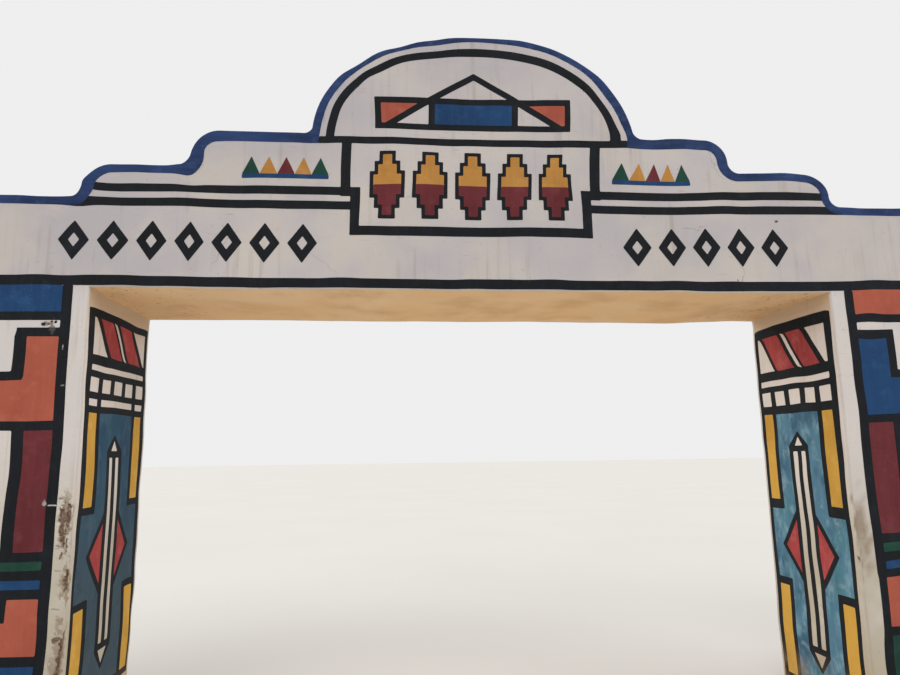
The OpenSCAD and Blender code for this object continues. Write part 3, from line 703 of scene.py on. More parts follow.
@dataclass(frozen=True)
class Cutter:
    """Cuts a coat into cells along planes that all coats share.

    What is fine reaches past a patch by the margin, as a share of the patch's size, and proud of
    the wall by a length that takes in every coat.
    """

    plan: SettingOut
    hand: HandWork
    cell: float = 40 * MM
    fine_cell: float = 6 * MM
    margin: float = 1.7
    proud: float = 4 * MM

    def places(self, axis: int) -> list[float]:
        """Lists the shared planes across one axis.

        Args:
            axis: 0, 1 or 2.

        Returns:
            Their places, in order.
        """
        plan, steps = self.plan, self.hand.corner_steps()
        reach = (plan.total_half, plan.face, plan.crest)[axis]
        count = int(reach / self.cell)
        if axis == 2:
            found = [n * self.cell for n in range(1, count + 1)] + [plan.soffit + s for s in steps]
            return sorted(found)
        found = [n * self.cell for n in range(-count, count + 1)]
        if axis == 0:
            edges = [plan.opening_half + s for s in steps] + [plan.total_half - s for s in steps]
        else:
            edges = [plan.face - s for s in steps]
        return sorted(found + edges + [-e for e in edges])

    def halve(self, mesh: bmesh.types.BMesh, faces: list, axis: int, places: Sequence[float]) -> list:
        """Cuts faces at each place, halving the list of places each time.

        Args:
            mesh: The mesh that the faces are in.
            faces: The faces to cut.
            axis: The axis that the cuts are across.
            places: Places of the cuts, in order.

        Returns:
            The faces after the cuts.
        """
        if not places or not faces:
            return list(faces)
        middle = len(places) // 2
        place = places[middle]
        crossing, lower, upper = [], [], []
        for face in faces:
            ends = [v.co[axis] for v in face.verts]
            if min(ends) < place - TINY and max(ends) > place + TINY:
                crossing.append(face)
            else:
                (lower if sum(ends) / len(ends) < place else upper).append(face)
        if crossing:
            normal = Vector([float(n == axis) for n in range(3)])
            edges = {e for f in crossing for e in f.edges}
            verts = {v for f in crossing for v in f.verts}
            geometry = [*verts, *edges, *crossing]
            cut = bmesh.ops.bisect_plane(
                mesh, geom=geometry, dist=TINY, plane_co=normal * place, plane_no=normal
            )
            for face in (g for g in cut["geom"] if isinstance(g, bmesh.types.BMFace)):
                (lower if face.calc_center_median()[axis] < place else upper).append(face)
        below, above = places[:middle], places[middle + 1 :]
        return self.halve(mesh, lower, axis, below) + self.halve(mesh, upper, axis, above)

    def meets(self, places: Sequence[Vector], low: Vector, high: Vector) -> bool:
        """Says whether the box around some places meets the box between two corners."""
        spans = ([place[axis] for place in places] for axis in range(3))
        return all(min(span) < high[a] and max(span) > low[a] for a, span in enumerate(spans))

    def refine(self, mesh: bmesh.types.BMesh, low: Vector, high: Vector) -> None:
        """Cuts what lies in a box into fine cells.

        Args:
            mesh: The mesh to cut.
            low: Lowest corner of the box.
            high: Highest corner of the box.
        """
        inside = [f for f in mesh.faces if self.meets([v.co for v in f.verts], low, high)]
        for axis in range(3):
            count = max(1, round((high[axis] - low[axis]) / self.fine_cell))
            places = list(np.linspace(low[axis], high[axis], count + 1))
            inside = self.halve(mesh, inside, axis, places)
            inside = [f for f in inside if low[axis] - MM < f.calc_center_median()[axis] < high[axis] + MM]

    def cut(self, mesh: bmesh.types.BMesh) -> None:
        """Cuts a whole coat along the shared planes, and finely around the worn patches.

        Args:
            mesh: The coat's mesh.
        """
        for axis in range(3):
            self.halve(mesh, list(mesh.faces), axis, self.places(axis))
        plan = self.plan
        ends = [Vector([pick(v.co[a] for v in mesh.verts) for a in range(3)]) for pick in (min, max)]
        for patch in (*PATCHES, *SPECKS):
            wide = abs(patch.lean) * patch.half_height + patch.half_across * self.margin
            start, end = patch.across - wide, patch.across + wide
            rise = patch.half_height * self.margin
            on_beam = patch.height > plan.soffit
            reach = (start, end) if on_beam else (min(start, 0) - MM, min(end, 0) + self.proud)
            sides = sorted(patch.side.value * (plan.opening_half - across) for across in reach)
            inward = 0.0 if on_beam else max(end, 0)
            low = Vector((sides[0], -plan.face - self.proud, patch.height - rise))
            high = Vector((sides[1], -plan.face + inward + MM, patch.height + rise))
            if self.meets(ends, low, high):
                self.refine(mesh, low, high)


def add_node(
    tree: bpy.types.NodeTree, kind: str, links: dict | None = None, **settings: object
) -> bpy.types.Node:
    """Adds a node with its settings and links.

    Args:
        tree: The node tree.
        kind: Blender's name for the node.
        links: Socket name or number to the socket or value that feeds it.
        settings: The node's own properties.

    Returns:
        The node.
    """
    node = tree.nodes.new(kind)
    for name, value in settings.items():
        setattr(node, name, value)
    for name, source in (links or {}).items():
        if isinstance(source, Socket):
            tree.links.new(source, node.inputs[name])
        else:
            node.inputs[name].default_value = source
    return node


class Board:
    """The node tree of one material and the patterns that it is made of."""

    def __init__(self, name: str) -> None:
        """Starts an empty material.

        Args:
            name: The material's name.
        """
        self.material = bpy.data.materials.new(name)
        self.material.use_nodes = True
        self.material.node_tree.nodes.clear()
        self.add = partial(add_node, self.material.node_tree)
        self.place = self.add("ShaderNodeTexCoord").outputs["Object"]

    def graded(
        self, value: Socket, none: float, full: float, most: float = 1.0, kind: str = "SMOOTHSTEP"
    ) -> Socket:
        """Turns a value into a strength, which runs from 0 to its most between two values."""
        links = {"Value": value, "From Min": none, "From Max": full, "To Max": most}
        return self.add("ShaderNodeMapRange", links, interpolation_type=kind).outputs[0]

    def cloud(
        self,
        size: float,
        low: float = 0.35,
        high: float = 0.65,
        most: float = 1.0,
        stretch: tuple[float, float, float] = (1, 1, 1),
        detail: float = 3.0,
        offset: float = 0.0,
    ) -> Socket:
        """Adds soft uneven patches.

        Args:
            size: Size of a patch, in millimetres.
            low: Noise value at which the patches start.
            high: Noise value at which they are full.
            most: Strength of a full patch.
            stretch: How many times longer a patch is along each axis.
            detail: Octaves of finer noise.
            offset: Moves the pattern, so that two patterns differ.

        Returns:
            The strength of the patches.
        """
        shift = {"Vector": self.place, "Location": (offset,) * 3, "Scale": tuple(1.0 / s for s in stretch)}
        moved = self.add("ShaderNodeMapping", shift).outputs[0]
        links = {"Vector": moved, "Scale": 1 / (size * MM), "Detail": detail, "Roughness": 0.55}
        return self.graded(self.add("ShaderNodeTexNoise", links).outputs[0], low, high, most)

    def grain(self) -> Socket:
        """Adds the plaster's sand, which is finer than 2 mm and is drawn coarser so that it shows."""
        return self.cloud(7, 0.2, 0.8, detail=2.0)

    def sweeps(self) -> Socket:
        """Adds the sweeps of a trowel, about a hand wide."""
        return self.cloud(95, 0.2, 0.8, stretch=(2.2, 1, 1), detail=2.0)

    def splash(self, height: float) -> Socket:
        """Adds dust splashed up from the ground to a height in metres."""
        return self.both(self.ramp("Z", 0.0, height, 0.8), self.cloud(130, 0.25, 0.75, offset=3.0))

    def cracks(self, size: float, width: float, where: Socket) -> Socket:
        """Adds hairline cracks between irregular fields.

        Args:
            size: Size of a field, in millimetres.
            width: Width of a crack, in millimetres.
            where: Strength of the cracks at each place.

        Returns:
            The strength of the cracks.
        """
        # The noise that bends the cracks has waves of two fifths of a field
        waves = {"Vector": self.place, "Scale": 2.6 / (size * MM), "Detail": 3.0}
        bend = self.add("ShaderNodeTexNoise", waves).outputs["Color"]
        links = {0: bend, 1: (0.5 * size * MM,) * 3, 2: self.place}
        bent = self.add("ShaderNodeVectorMath", links, operation="MULTIPLY_ADD").outputs[0]
        links = {"Vector": bent, "Scale": 1 / (size * MM)}
        fields = self.add("ShaderNodeTexVoronoi", links, feature="DISTANCE_TO_EDGE")
        away, fine = fields.outputs["Distance"], width / size
        return self.both(self.graded(away, fine, 0.3 * fine, kind="LINEAR"), where)

    def ramp(self, axis: str, full: float, none: float, most: float = 1.0) -> Socket:
        """Adds a ramp along axis "X" or "Z" that is full at one place and gone at another, in metres."""
        parts = self.add("ShaderNodeSeparateXYZ", {0: self.place})
        return self.graded(parts.outputs[axis], none, full, most)

    def both(self, first: Socket, second: Socket) -> Socket:
        """Gives the strength of two patterns where they meet."""
        return self.add("ShaderNodeMath", {0: first, 1: second}, operation="MULTIPLY").outputs[0]

    def trace(self, what: Trace, low: float, high: float, most: float = 1.0) -> Socket:
        """Gives what the mesh carries, from where it starts to show up to where it is full."""
        carried = self.add("ShaderNodeAttribute", attribute_name=what.value)
        return self.graded(carried.outputs["Fac"], low, high, most, "LINEAR")

    def layered(self, ground: str, *layers: tuple[str, Socket]) -> Socket:
        """Lays colours over each other.

        Args:
            ground: The colour under all others.
            layers: Each colour with what it covers, in the order in which they are laid.

        Returns:
            The colour.
        """
        base = self.add("ShaderNodeRGB")
        base.outputs[0].default_value = linear(ground)
        colour = base.outputs[0]
        for laid, cover in layers:
            links = {0: cover, 6: colour, 7: linear(laid)}
            colour = self.add("ShaderNodeMix", links, data_type="RGBA").outputs[2]
        return colour

    def relief(self, heights: Sequence[tuple[Socket, float]]) -> Socket:
        """Raises the surface by one pattern after another.

        Args:
            heights: Patterns and their heights in millimetres, negative for hollows.

        Returns:
            The surface normal.
        """
        normal = None
        for pattern, rise in heights:
            links = {"Height": pattern, "Distance": abs(rise) * MM, "Strength": 1.0}
            if normal is not None:
                links["Normal"] = normal
            normal = self.add("ShaderNodeBump", links, invert=rise < 0).outputs[0]
        return normal

    def finish(self, colour: Socket, normal: Socket, roughness: float, gloss: float) -> bpy.types.Material:
        """Closes the material with its shader.

        Args:
            colour: The surface colour.
            normal: The surface normal.
            roughness: Roughness of the surface.
            gloss: Specular level of the surface.

        Returns:
            The material.
        """
        links = {"Base Color": colour, "Normal": normal, "Roughness": roughness, "Specular IOR Level": gloss}
        shader = self.add("ShaderNodeBsdfPrincipled", links)
        self.add("ShaderNodeOutputMaterial", {"Surface": shader.outputs[0]})
        return self.material


@dataclass(frozen=True)
class LimewashedPlaster:
    """Sand and cement plaster, floated by hand and limewashed.

    It gives the eye a chalky off-white with grey and cream clouds, whiter below the beam and in
    the passage, warmer and darker towards the foot, a buff up under the beam that is partly painted
    warm bounce light, thin rain streaks under the copings, a few hairline cracks, dark splashes
    around a chip that are partly painted shade, and red dust splashed up from the ground.
    """

    name: str = "limewashed_cement_plaster"
    wash: str = WASH
    grey: str = "#aea9ad"
    cream: str = "#c9c0b3"
    fresh: str = "#efe7df"
    low_warm_tint: str = "#b0a68f"
    streak: str = "#94877a"
    crack: str = "#6f655b"
    dust: str = DUST
    buff: str = "#c3a683"
    stain: str = "#8c7a66"
    undercoat: str = UNDERCOAT
    broken: str = "#8f7f6c"
    speck: str = "#2e2628"

    def material(self) -> bpy.types.Material:
        """Makes the material."""
        board = Board(self.name)
        scuffs = board.cloud(9, 0.66, 0.74, 0.4, (18, 1, 1), 2.0, offset=8.0)
        rain = board.cloud(42, 0.50, 0.74, 0.45, (1, 1, 22), 4.0)
        cracks = board.cracks(700, 1.8, board.cloud(900, 0.60, 0.66, 0.7, offset=9.0))
        frayed = board.cloud(14, 0.25, 0.7, detail=4.0)
        patchy = board.cloud(30, 0.15, 0.45, detail=4.0, offset=1.0)
        gone = board.both(board.trace(Trace.WEAR, 0.3, 0.7), patchy)
        # Warmer and darker towards the foot of the walls, full below 0.7 m and gone above 2 m, in patches
        low_warm_tint = board.both(board.ramp("Z", 0.7, 2.0, 0.8), board.cloud(500, 0.15, 0.5, offset=12.0))
        stained = board.both(board.trace(Trace.STAIN, 0.0, 1.0, 0.8), board.cloud(110, 0.1, 0.6, offset=6.0))
        colour = board.layered(
            self.wash,
            (self.grey, board.cloud(1300, most=0.75)),
            (self.cream, board.cloud(420, 0.42, 0.7, 0.5, offset=2.0)),
            (self.fresh, board.ramp("Z", 2.72, 2.90, 0.36)),
            (self.fresh, board.trace(Trace.SHELTER, 0.0, 0.08, 0.45)),
            (self.low_warm_tint, low_warm_tint),
            (self.streak, board.both(scuffs, board.cloud(420, 0.5, 0.6, offset=4.0))),
            (self.streak, board.both(rain, board.cloud(600, 0.42, 0.62, offset=5.0))),
            (self.streak, board.cloud(26, 0.66, 0.74, 0.3, offset=7.0)),
            # Buff up under the beam and in the passage: partly the soffit's own colour, partly painted warm
            # bounce light
            (self.buff, board.trace(Trace.SHELTER, 0.0, 1.0, 0.85)),
            (self.crack, cracks),
            (self.dust, board.splash(0.6)),
            (self.stain, stained),
            (self.broken, board.trace(Trace.WEAR, 0.05, 0.4, 0.8)),
            (self.undercoat, board.both(gone, frayed)),
            # Dark specks around the chip: partly real marks, partly painted shade in its hollows
            (self.speck, board.trace(Trace.SPECK, 0.0, 0.8)),
        )
        pits = board.both(gone, board.grain())
        normal = board.relief([(board.sweeps(), 1.6), (board.grain(), 0.5), (cracks, -1.2), (pits, 2.5)])
        return board.finish(colour, normal, roughness=0.92, gloss=0.12)


@dataclass(frozen=True)
class StainedSoffit:
    """Cement plaster on the underside of the beam, floated and never washed again.

    It gives the eye a warm buff, which is its own colour made lighter and warmer as painted
    bounce light from the ground, with brown damp stains and rust spots near the ends.
    """

    name: str = "stained_soffit_plaster"
    ground: str = "#e6bd8c"
    pale: str = "#ebcfa8"
    damp: str = "#bb8e5d"
    spot: str = "#7d5b3c"

    def material(self) -> bpy.types.Material:
        """Makes the material."""
        board = Board(self.name)
        ends = {n: board.ramp("X", side * 2.35, side * 1.5) for n, side in enumerate((1, -1))}
        near_end = board.add("ShaderNodeMath", ends, operation="MAXIMUM").outputs[0]
        spots = board.both(board.cloud(40, 0.60, 0.70, 0.75, detail=5.0), near_end)
        colour = board.layered(
            # The ground colour is the soffit's own buff, made lighter and warmer as painted bounce light from
            # the ground
            self.ground,
            (self.pale, board.cloud(900, 0.4, 0.68, 0.5)),
            (self.damp, board.cloud(330, 0.42, 0.8, 0.5, detail=4.0, offset=6.0)),
            (self.spot, spots),
        )
        float_marks = board.cloud(110, 0.2, 0.8, stretch=(2.5, 1, 1), detail=2.0)
        normal = board.relief([(float_marks, 0.8), (board.grain(), 0.5), (spots, -1.0)])
        return board.finish(colour, normal, roughness=0.93, gloss=0.12)


@dataclass(frozen=True)
class MasonryPaint:
    """Matt masonry paint, brushed by hand over the plaster.

    It gives the eye a flat colour that is a little uneven along the brush strokes, with the
    plaster's grain showing through on its high spots.
    """

    name: str
    colour: str
    deep: str
    pale: str
    stroke: float = 0.16
    cloudy: float = 0.8
    bare: float = 0.14
    plaster: str = WASH
    dust: str = DUST
    undercoat: str = UNDERCOAT
    speck_colour: str = "#55504e"

    def material(self) -> bpy.types.Material:
        """Makes the material."""
        board = Board(self.name)
        down = board.cloud(22, 0.35, 0.75, self.stroke, (1, 1, 14), 4.0)
        along = board.cloud(20, 0.4, 0.8, self.stroke, (12, 1, 1), 4.0, offset=2.0)
        high_spots = board.cloud(6, 0.62, 0.72, self.bare, offset=4.0)
        rubbed = board.both(high_spots, board.cloud(260, 0.4, 0.65, offset=6.0))
        colour = board.layered(
            self.colour,
            (self.deep, board.cloud(420, 0.38, 0.66, self.cloudy)),
            (self.pale, board.cloud(110, 0.5, 0.72, self.cloudy * 0.5, detail=4.0, offset=7.0)),
            (self.pale, down),
            (self.deep, along),
            (self.plaster, rubbed),
            (self.dust, board.splash(0.4)),
            (self.plaster, board.trace(Trace.WEAR, 0.05, 0.3)),
            (self.undercoat, board.trace(Trace.WEAR, 0.45, 0.62)),
            # The dark specks around the chip: partly real marks, partly painted shade in its hollows
            (self.speck_colour, board.trace(Trace.SPECK, 0.0, 0.8)),
        )
        normal = board.relief([(board.sweeps(), 1.4), (board.grain(), 0.4), (down, 0.5)])
        return board.finish(colour, normal, roughness=0.82, gloss=0.16)


@dataclass(frozen=True)
class StreakyPaint:
    """Thinned masonry paint on the jambs, in one coat.

    It gives the eye pale, dark and greenish strokes and blotches, where the brush ran dry or
    where the paint pooled. The left jamb is darkened all over with painted shade, and is darker and
    greener still towards its foot, which is partly dirt and partly painted shade.
    """

    name: str = "thinned_sky_blue_masonry_paint"
    colour: str = "#517a90"
    deep: str = "#355a72"
    pale: str = "#82a6b4"
    grey: str = "#a3b2b4"
    green: str = "#4a8089"
    left_coat: str = "#1d3c57"
    dirt_and_shade: str = "#454a45"
    dust: str = DUST

    def material(self) -> bpy.types.Material:
        """Makes the material."""
        board = Board(self.name)
        strokes = board.cloud(60, 0.46, 0.74, 0.4, (1, 1, 2.6), 5.0)
        # Mask of the lower left jamb, where dirt and painted shade darken the coat
        low_left = board.both(board.ramp("X", -2.0, 2.0), board.ramp("Z", 0.6, 2.0, 0.55))
        colour = board.layered(
            self.colour,
            (self.deep, board.cloud(210, 0.44, 0.62, 0.85, (1, 1, 1.4), 5.0)),
            (self.green, board.cloud(260, 0.50, 0.66, 0.6, detail=4.0, offset=9.0)),
            (self.pale, strokes),
            (self.pale, board.cloud(130, 0.50, 0.68, 0.7, (1, 1, 1.3), 5.0, offset=5.0)),
            (self.grey, board.cloud(80, 0.58, 0.72, 0.35, (1, 1.6, 1), 3.0, offset=8.0)),
            # Painted shade over the left jamb, fading out across the passage to nothing at the right jamb
            (self.left_coat, board.ramp("X", -2.0, 2.0, 0.78)),
            # Darker and greener towards the left jamb's foot: partly dirt, partly painted shade
            (self.dirt_and_shade, low_left),
            (self.dust, board.splash(0.4)),
        )
        normal = board.relief([(board.sweeps(), 1.4), (board.grain(), 0.4), (strokes, 0.6)])
        return board.finish(colour, normal, roughness=0.8, gloss=0.16)


@dataclass(frozen=True)
class NavyCoping:
    """Trowelled mortar cap, brushed with navy masonry paint.

    It gives the eye a dark blue edge that has gone chalky, and dusty on top.
    """

    name: str = "navy_masonry_paint_on_mortar"
    colour: str = "#283b65"
    deep: str = "#1d2c4d"
    chalk: str = "#42537e"
    dust: str = "#8b8077"

    def material(self) -> bpy.types.Material:
        """Makes the material."""
        board = Board(self.name)
        grain = board.cloud(8, 0.2, 0.8, detail=2.0)
        normals = board.add("ShaderNodeNewGeometry").outputs["Normal"]
        facing = board.add("ShaderNodeSeparateXYZ", {0: normals}).outputs["Z"]
        upward = board.graded(facing, 0.5, 0.95, 0.45, "LINEAR")
        strokes = board.cloud(18, 0.4, 0.75, 0.25, (10, 1, 1), 3.0, offset=2.0)
        colour = board.layered(
            self.colour,
            (self.deep, board.cloud(500, 0.4, 0.62, 0.9)),
            (self.chalk, strokes),
            (self.chalk, board.cloud(90, 0.52, 0.72, 0.35, offset=5.0)),
            (self.dust, board.both(upward, board.cloud(420, 0.25, 0.75, detail=6.0, offset=1.0))),
        )
        trowel = board.cloud(70, 0.2, 0.8, stretch=(2.0, 1, 1), detail=2.0)
        normal = board.relief([(trowel, 2.2), (grain, 0.6), (strokes, 0.5)])
        return board.finish(colour, normal, roughness=0.8, gloss=0.16)


@dataclass(frozen=True)
class FiredBrick:
    """Clay stock bricks, fired and laid in lime mortar.

    It gives the eye red-brown stretchers with pale joints.
    """

    name: str = "fired_clay_brick"
    brick: str = "#8d5a40"
    other_brick: str = "#a26a49"
    burnt: str = "#5f3c2c"
    mortar: str = "#a39a8c"

    def material(self) -> bpy.types.Material:
        """Makes the material. A brick with its joint is 230 mm long and 85 mm high."""
        board = Board(self.name)
        upright = board.add("ShaderNodeMapping", {"Vector": board.place, "Rotation": (math.pi / 2, 0, 0)})
        bond = board.add(
            "ShaderNodeTexBrick",
            {
                "Vector": upright.outputs[0],
                "Color1": linear(self.brick),
                "Color2": linear(self.other_brick),
                "Mortar": linear(self.mortar),
                "Scale": 1.0,
                "Mortar Size": 0.006,
                "Mortar Smooth": 0.2,
                "Brick Width": 0.23,
                "Row Height": 0.085,
            },
        )
        clay = board.cloud(30, 0.3, 0.7, 0.4)
        links = {0: clay, 6: bond.outputs["Color"], 7: linear(self.burnt)}
        colour = board.add("ShaderNodeMix", links, data_type="RGBA").outputs[2]
        normal = board.relief([(bond.outputs["Fac"], -4.0), (board.cloud(6, 0.2, 0.8), 0.8)])
        return board.finish(colour, normal, roughness=0.9, gloss=0.3)


@dataclass(frozen=True)
class CastConcrete:
    """Structural concrete, cast in board shuttering.

    It gives the eye a cool grey with the print of the boards.
    """

    name: str = "board_cast_concrete"
    ground: str = "#9b9993"
    dark: str = "#7d7b76"

    def material(self) -> bpy.types.Material:
        """Makes the material."""
        board = Board(self.name)
        boards = board.cloud(40, 0.3, 0.7, 1.0, (30, 1, 1), 3.0)
        patterns = (board.cloud(600, most=0.8), board.cloud(12, 0.6, 0.75, 0.5))
        colour = board.layered(self.ground, *((self.dark, pattern) for pattern in patterns))
        normal = board.relief([(boards, 1.5), (board.cloud(5, 0.2, 0.8), 0.5)])
        return board.finish(colour, normal, roughness=0.88, gloss=0.3)


FINISHES: dict[Coat, object] = {
    Coat.BRICK: FiredBrick(),
    Coat.CONCRETE: CastConcrete(),
    Coat.PLASTER: LimewashedPlaster(),
    Coat.SOFFIT: StainedSoffit(),
    Coat.COPING: NavyCoping(),
    Coat.BLACK: MasonryPaint("black_masonry_paint", "#16191e", "#111417", "#24282d", stroke=0.2, bare=0.07),
    Coat.BLUE: MasonryPaint("deep_blue_masonry_paint", "#1d4069", "#183459", "#2f5680"),
    Coat.ORANGE: MasonryPaint("burnt_orange_masonry_paint", "#a85744", "#964a3b", "#b76a55"),
    Coat.MAROON: MasonryPaint("maroon_masonry_paint", "#662b2f", "#572327", "#783f45"),
    Coat.GREEN: MasonryPaint("bottle_green_masonry_paint", "#1f4338", "#18362d", "#33584a"),
    Coat.OCHRE: MasonryPaint("ochre_masonry_paint", "#b58140", "#a16f34", "#c4965a"),
    Coat.RED: MasonryPaint("red_masonry_paint", "#a8403f", "#8d3436", "#c46e69"),
    Coat.SKY_BLUE: StreakyPaint(),
    Coat.YELLOW: MasonryPaint("yellow_masonry_paint", "#cf9f42", "#bb8b36", "#dcb564"),
}


@dataclass
class FinishShelf:
    """Makes each finish once and hands it out."""

    made: dict[Coat, bpy.types.Material] = field(default_factory=dict)

    def take(self, coat: Coat) -> bpy.types.Material:
        """Gives the material of a coat.

        Args:
            coat: The coat.

        Returns:
            Its material.
        """
        if coat not in self.made:
            self.made[coat] = FINISHES[coat].material()
        return self.made[coat]


@dataclass
class Skin:
    """One coat of plaster or paint, or one coping, that stands for its CAD node.

    The soft edge is the radius along a coping's arrises, and the soft corner is the radius at the
    corners of a painted field. Either may be 0. A face counts as square to an axis, and a place
    as level with another, within a small slack.
    """

    node: str
    coat: Coat
    suffix: str
    soft_edge: float = 0.0
    soft_corner: float = 0.0
    square: float = 0.01
    slack: float = 1e-4
    sharp_angle: float = math.radians(38)
    corner_angle: float = math.radians(20)
    flat_angle: float = math.radians(0.4)
    paint_edge: float = 3.5 * MM

    def brushed_corners(self, mesh: bmesh.types.BMesh) -> list:
        """Finds the corners of painted fields, as the short edges through the paint's thickness."""
        short = (e for e in mesh.edges if e.calc_length() < self.paint_edge and len(e.link_faces) == 2)
        return [e for e in short if e.calc_face_angle(0.0) > self.corner_angle]

    def outer_edges(self, mesh: bmesh.types.BMesh) -> list:
        """Finds a coping's long arrises, between its faces and its weathered top.

        Args:
            mesh: The coping's mesh.

        Returns:
            The edges.
        """
        ends = max(abs(v.co.x) for v in mesh.verts)
        found = []
        for edge in mesh.edges:
            if len(edge.link_faces) != 2:
                continue
            top, face = sorted(edge.link_faces, key=lambda f: abs(f.normal.y))
            if abs(face.normal.y) < 1 - self.square or abs(top.normal.y) > self.square:
                continue
            middle = (edge.verts[0].co + edge.verts[1].co) / 2
            outward = top.normal.z > -self.square and top.normal.x * middle.x > -self.slack
            seam = abs(abs(middle.x) - ends) < self.slack
            if outward and not seam:
                found.append(edge)
        return found

    def build(self, hand: HandWork, cutter: Cutter) -> bpy.types.Object:
        """Copies the node's mesh and works it by hand.

        Args:
            hand: The shared field that moves every coat.
            cutter: The shared planes that cut every coat.

        Returns:
            The new piece.
        """
        mesh = bmesh.new()
        mesh.from_mesh(bpy.data.objects[self.node].data)
        bmesh.ops.remove_doubles(mesh, verts=mesh.verts, dist=TINY)
        bmesh.ops.dissolve_limit(mesh, angle_limit=self.flat_angle, verts=mesh.verts, edges=mesh.edges)
        rounding = ((self.soft_edge, self.outer_edges), (self.soft_corner, self.brushed_corners))
        for radius, find in rounding:
            if radius:
                edges = find(mesh)
                bmesh.ops.bevel(mesh, geom=edges, offset=radius, segments=3, profile=0.5, affect="EDGES")
        cutter.cut(mesh)
        made = bpy.data.meshes.new(f"{self.node}_{self.suffix}")
        mesh.to_mesh(made)
        mesh.free()
        places = np.empty(len(made.vertices) * 3, np.float32)
        made.vertices.foreach_get("co", places)
        moved, traces = hand.shape(places.reshape(-1, 3).astype(float))
        made.vertices.foreach_set("co", moved.astype(np.float32).ravel())
        for what, strength in traces.items():
            carried = made.attributes.new(what.value, "FLOAT", "POINT")
            carried.data.foreach_set("value", strength.astype(np.float32))
        made.shade_smooth()
        made.set_sharp_from_angle(angle=self.sharp_angle)
        made.update()
        piece = bpy.data.objects.new(made.name, made)
        bpy.context.scene.collection.objects.link(piece)
        return piece

    def dress(self, piece: bpy.types.Object, shelf: FinishShelf) -> None:
        """Gives the piece its finish and its place on the frame.

        Args:
            piece: The piece.
            shelf: The finishes.
        """
        piece.data.materials.clear()
        piece.data.materials.append(shelf.take(self.coat))
        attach(piece, "root")
        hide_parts(self.node)


def painted(node: str, coat: Coat) -> Skin:
    """Gives a coat of paint whose corners the brush has rounded."""
    return Skin(node, coat, "paint", soft_corner=CORNER)


@dataclass
class Masonry:
    """The brickwork and the concrete beam behind the plaster, which stay as the CAD has them."""

    cores: dict[str, Coat] = field(
        default_factory=lambda: {
            **{
                f"{part}_brickwork": Coat.BRICK
                for part in ("left_pier", "right_pier", "lower_tier", "upper_tier", "gable")
            },
            "lintel_beam": Coat.CONCRETE,
        }
    )

    def dress(self, nodes: dict[str, bpy.types.Object], shelf: FinishShelf) -> None:
        """Gives each core its finish.

        Args:
            nodes: The CAD nodes by name.
            shelf: The finishes.
        """
        for name, coat in self.cores.items():
            core = nodes[name]
            if not core.material_slots:
                core.data.materials.append(None)
            for place in core.material_slots:
                place.material = shelf.take(coat)
            LOG.info("%s keeps its solid, finished as %s", name, coat.value)


@dataclass
class SkinSet:
    """A sub-assembly of coats that are worked alike."""

    skins: list[Skin]

    def build_and_dress(self, hand: HandWork, cutter: Cutter, shelf: FinishShelf) -> None:
        """Builds and dresses each coat.

        Args:
            hand: The shared field that moves every coat.
            cutter: The shared planes that cut every coat.
            shelf: The finishes.
        """
        for skin in self.skins:
            piece = skin.build(hand, cutter)
            skin.dress(piece, shelf)
            count = len(piece.data.polygons)
            LOG.info("%s has %d faces, finished as %s", piece.name, count, skin.coat.value)


@dataclass
class Plasterwork(SkinSet):
    """Every coat of plaster."""

    skins: list[Skin] = field(
        default_factory=lambda: [
            *(
                Skin(f"{place}_{part}_plaster", Coat.PLASTER, "coat")
                for places, parts in (
                    (FACES, ("left_pier", "right_pier", "beam", "pediment")),
                    (SIDES, ("jamb", "end")),
                )
                for place in places
                for part in parts
            ),
            Skin("soffit_plaster", Coat.SOFFIT, "coat"),
        ]
    )


@dataclass
class Copings(SkinSet):
    """The navy caps along the parapet, the tiers and the gable."""

    skins: list[Skin] = field(
        default_factory=lambda: [
            Skin(f"{part}_coping", Coat.COPING, "cap", soft_edge=10 * MM)
            for part in ("left_base", "right_base", "lower_step", "upper_step", "gable")
        ]
    )


@dataclass
class Mural(SkinSet):
    """Every painted line and colour field."""

    skins: list[Skin] = field(
        default_factory=lambda: [
            Skin("beam_line", Coat.BLACK, "paint"),
            *(painted(f"{face}_{part}_lines", Coat.BLACK) for face in FACES for part in ("pier", "pediment")),
            *(painted(f"{side}_jamb_lines", Coat.BLACK) for side in SIDES),
            *(
                painted(f"{face}_{coat.name.lower()}", coat)
                for face in FACES
                for coat in (Coat.BLUE, Coat.ORANGE, Coat.MAROON, Coat.GREEN, Coat.OCHRE)
            ),
            painted("jamb_red", Coat.RED),
            painted("jamb_blue", Coat.SKY_BLUE),
            painted("jamb_yellow", Coat.YELLOW),
        ]
    )


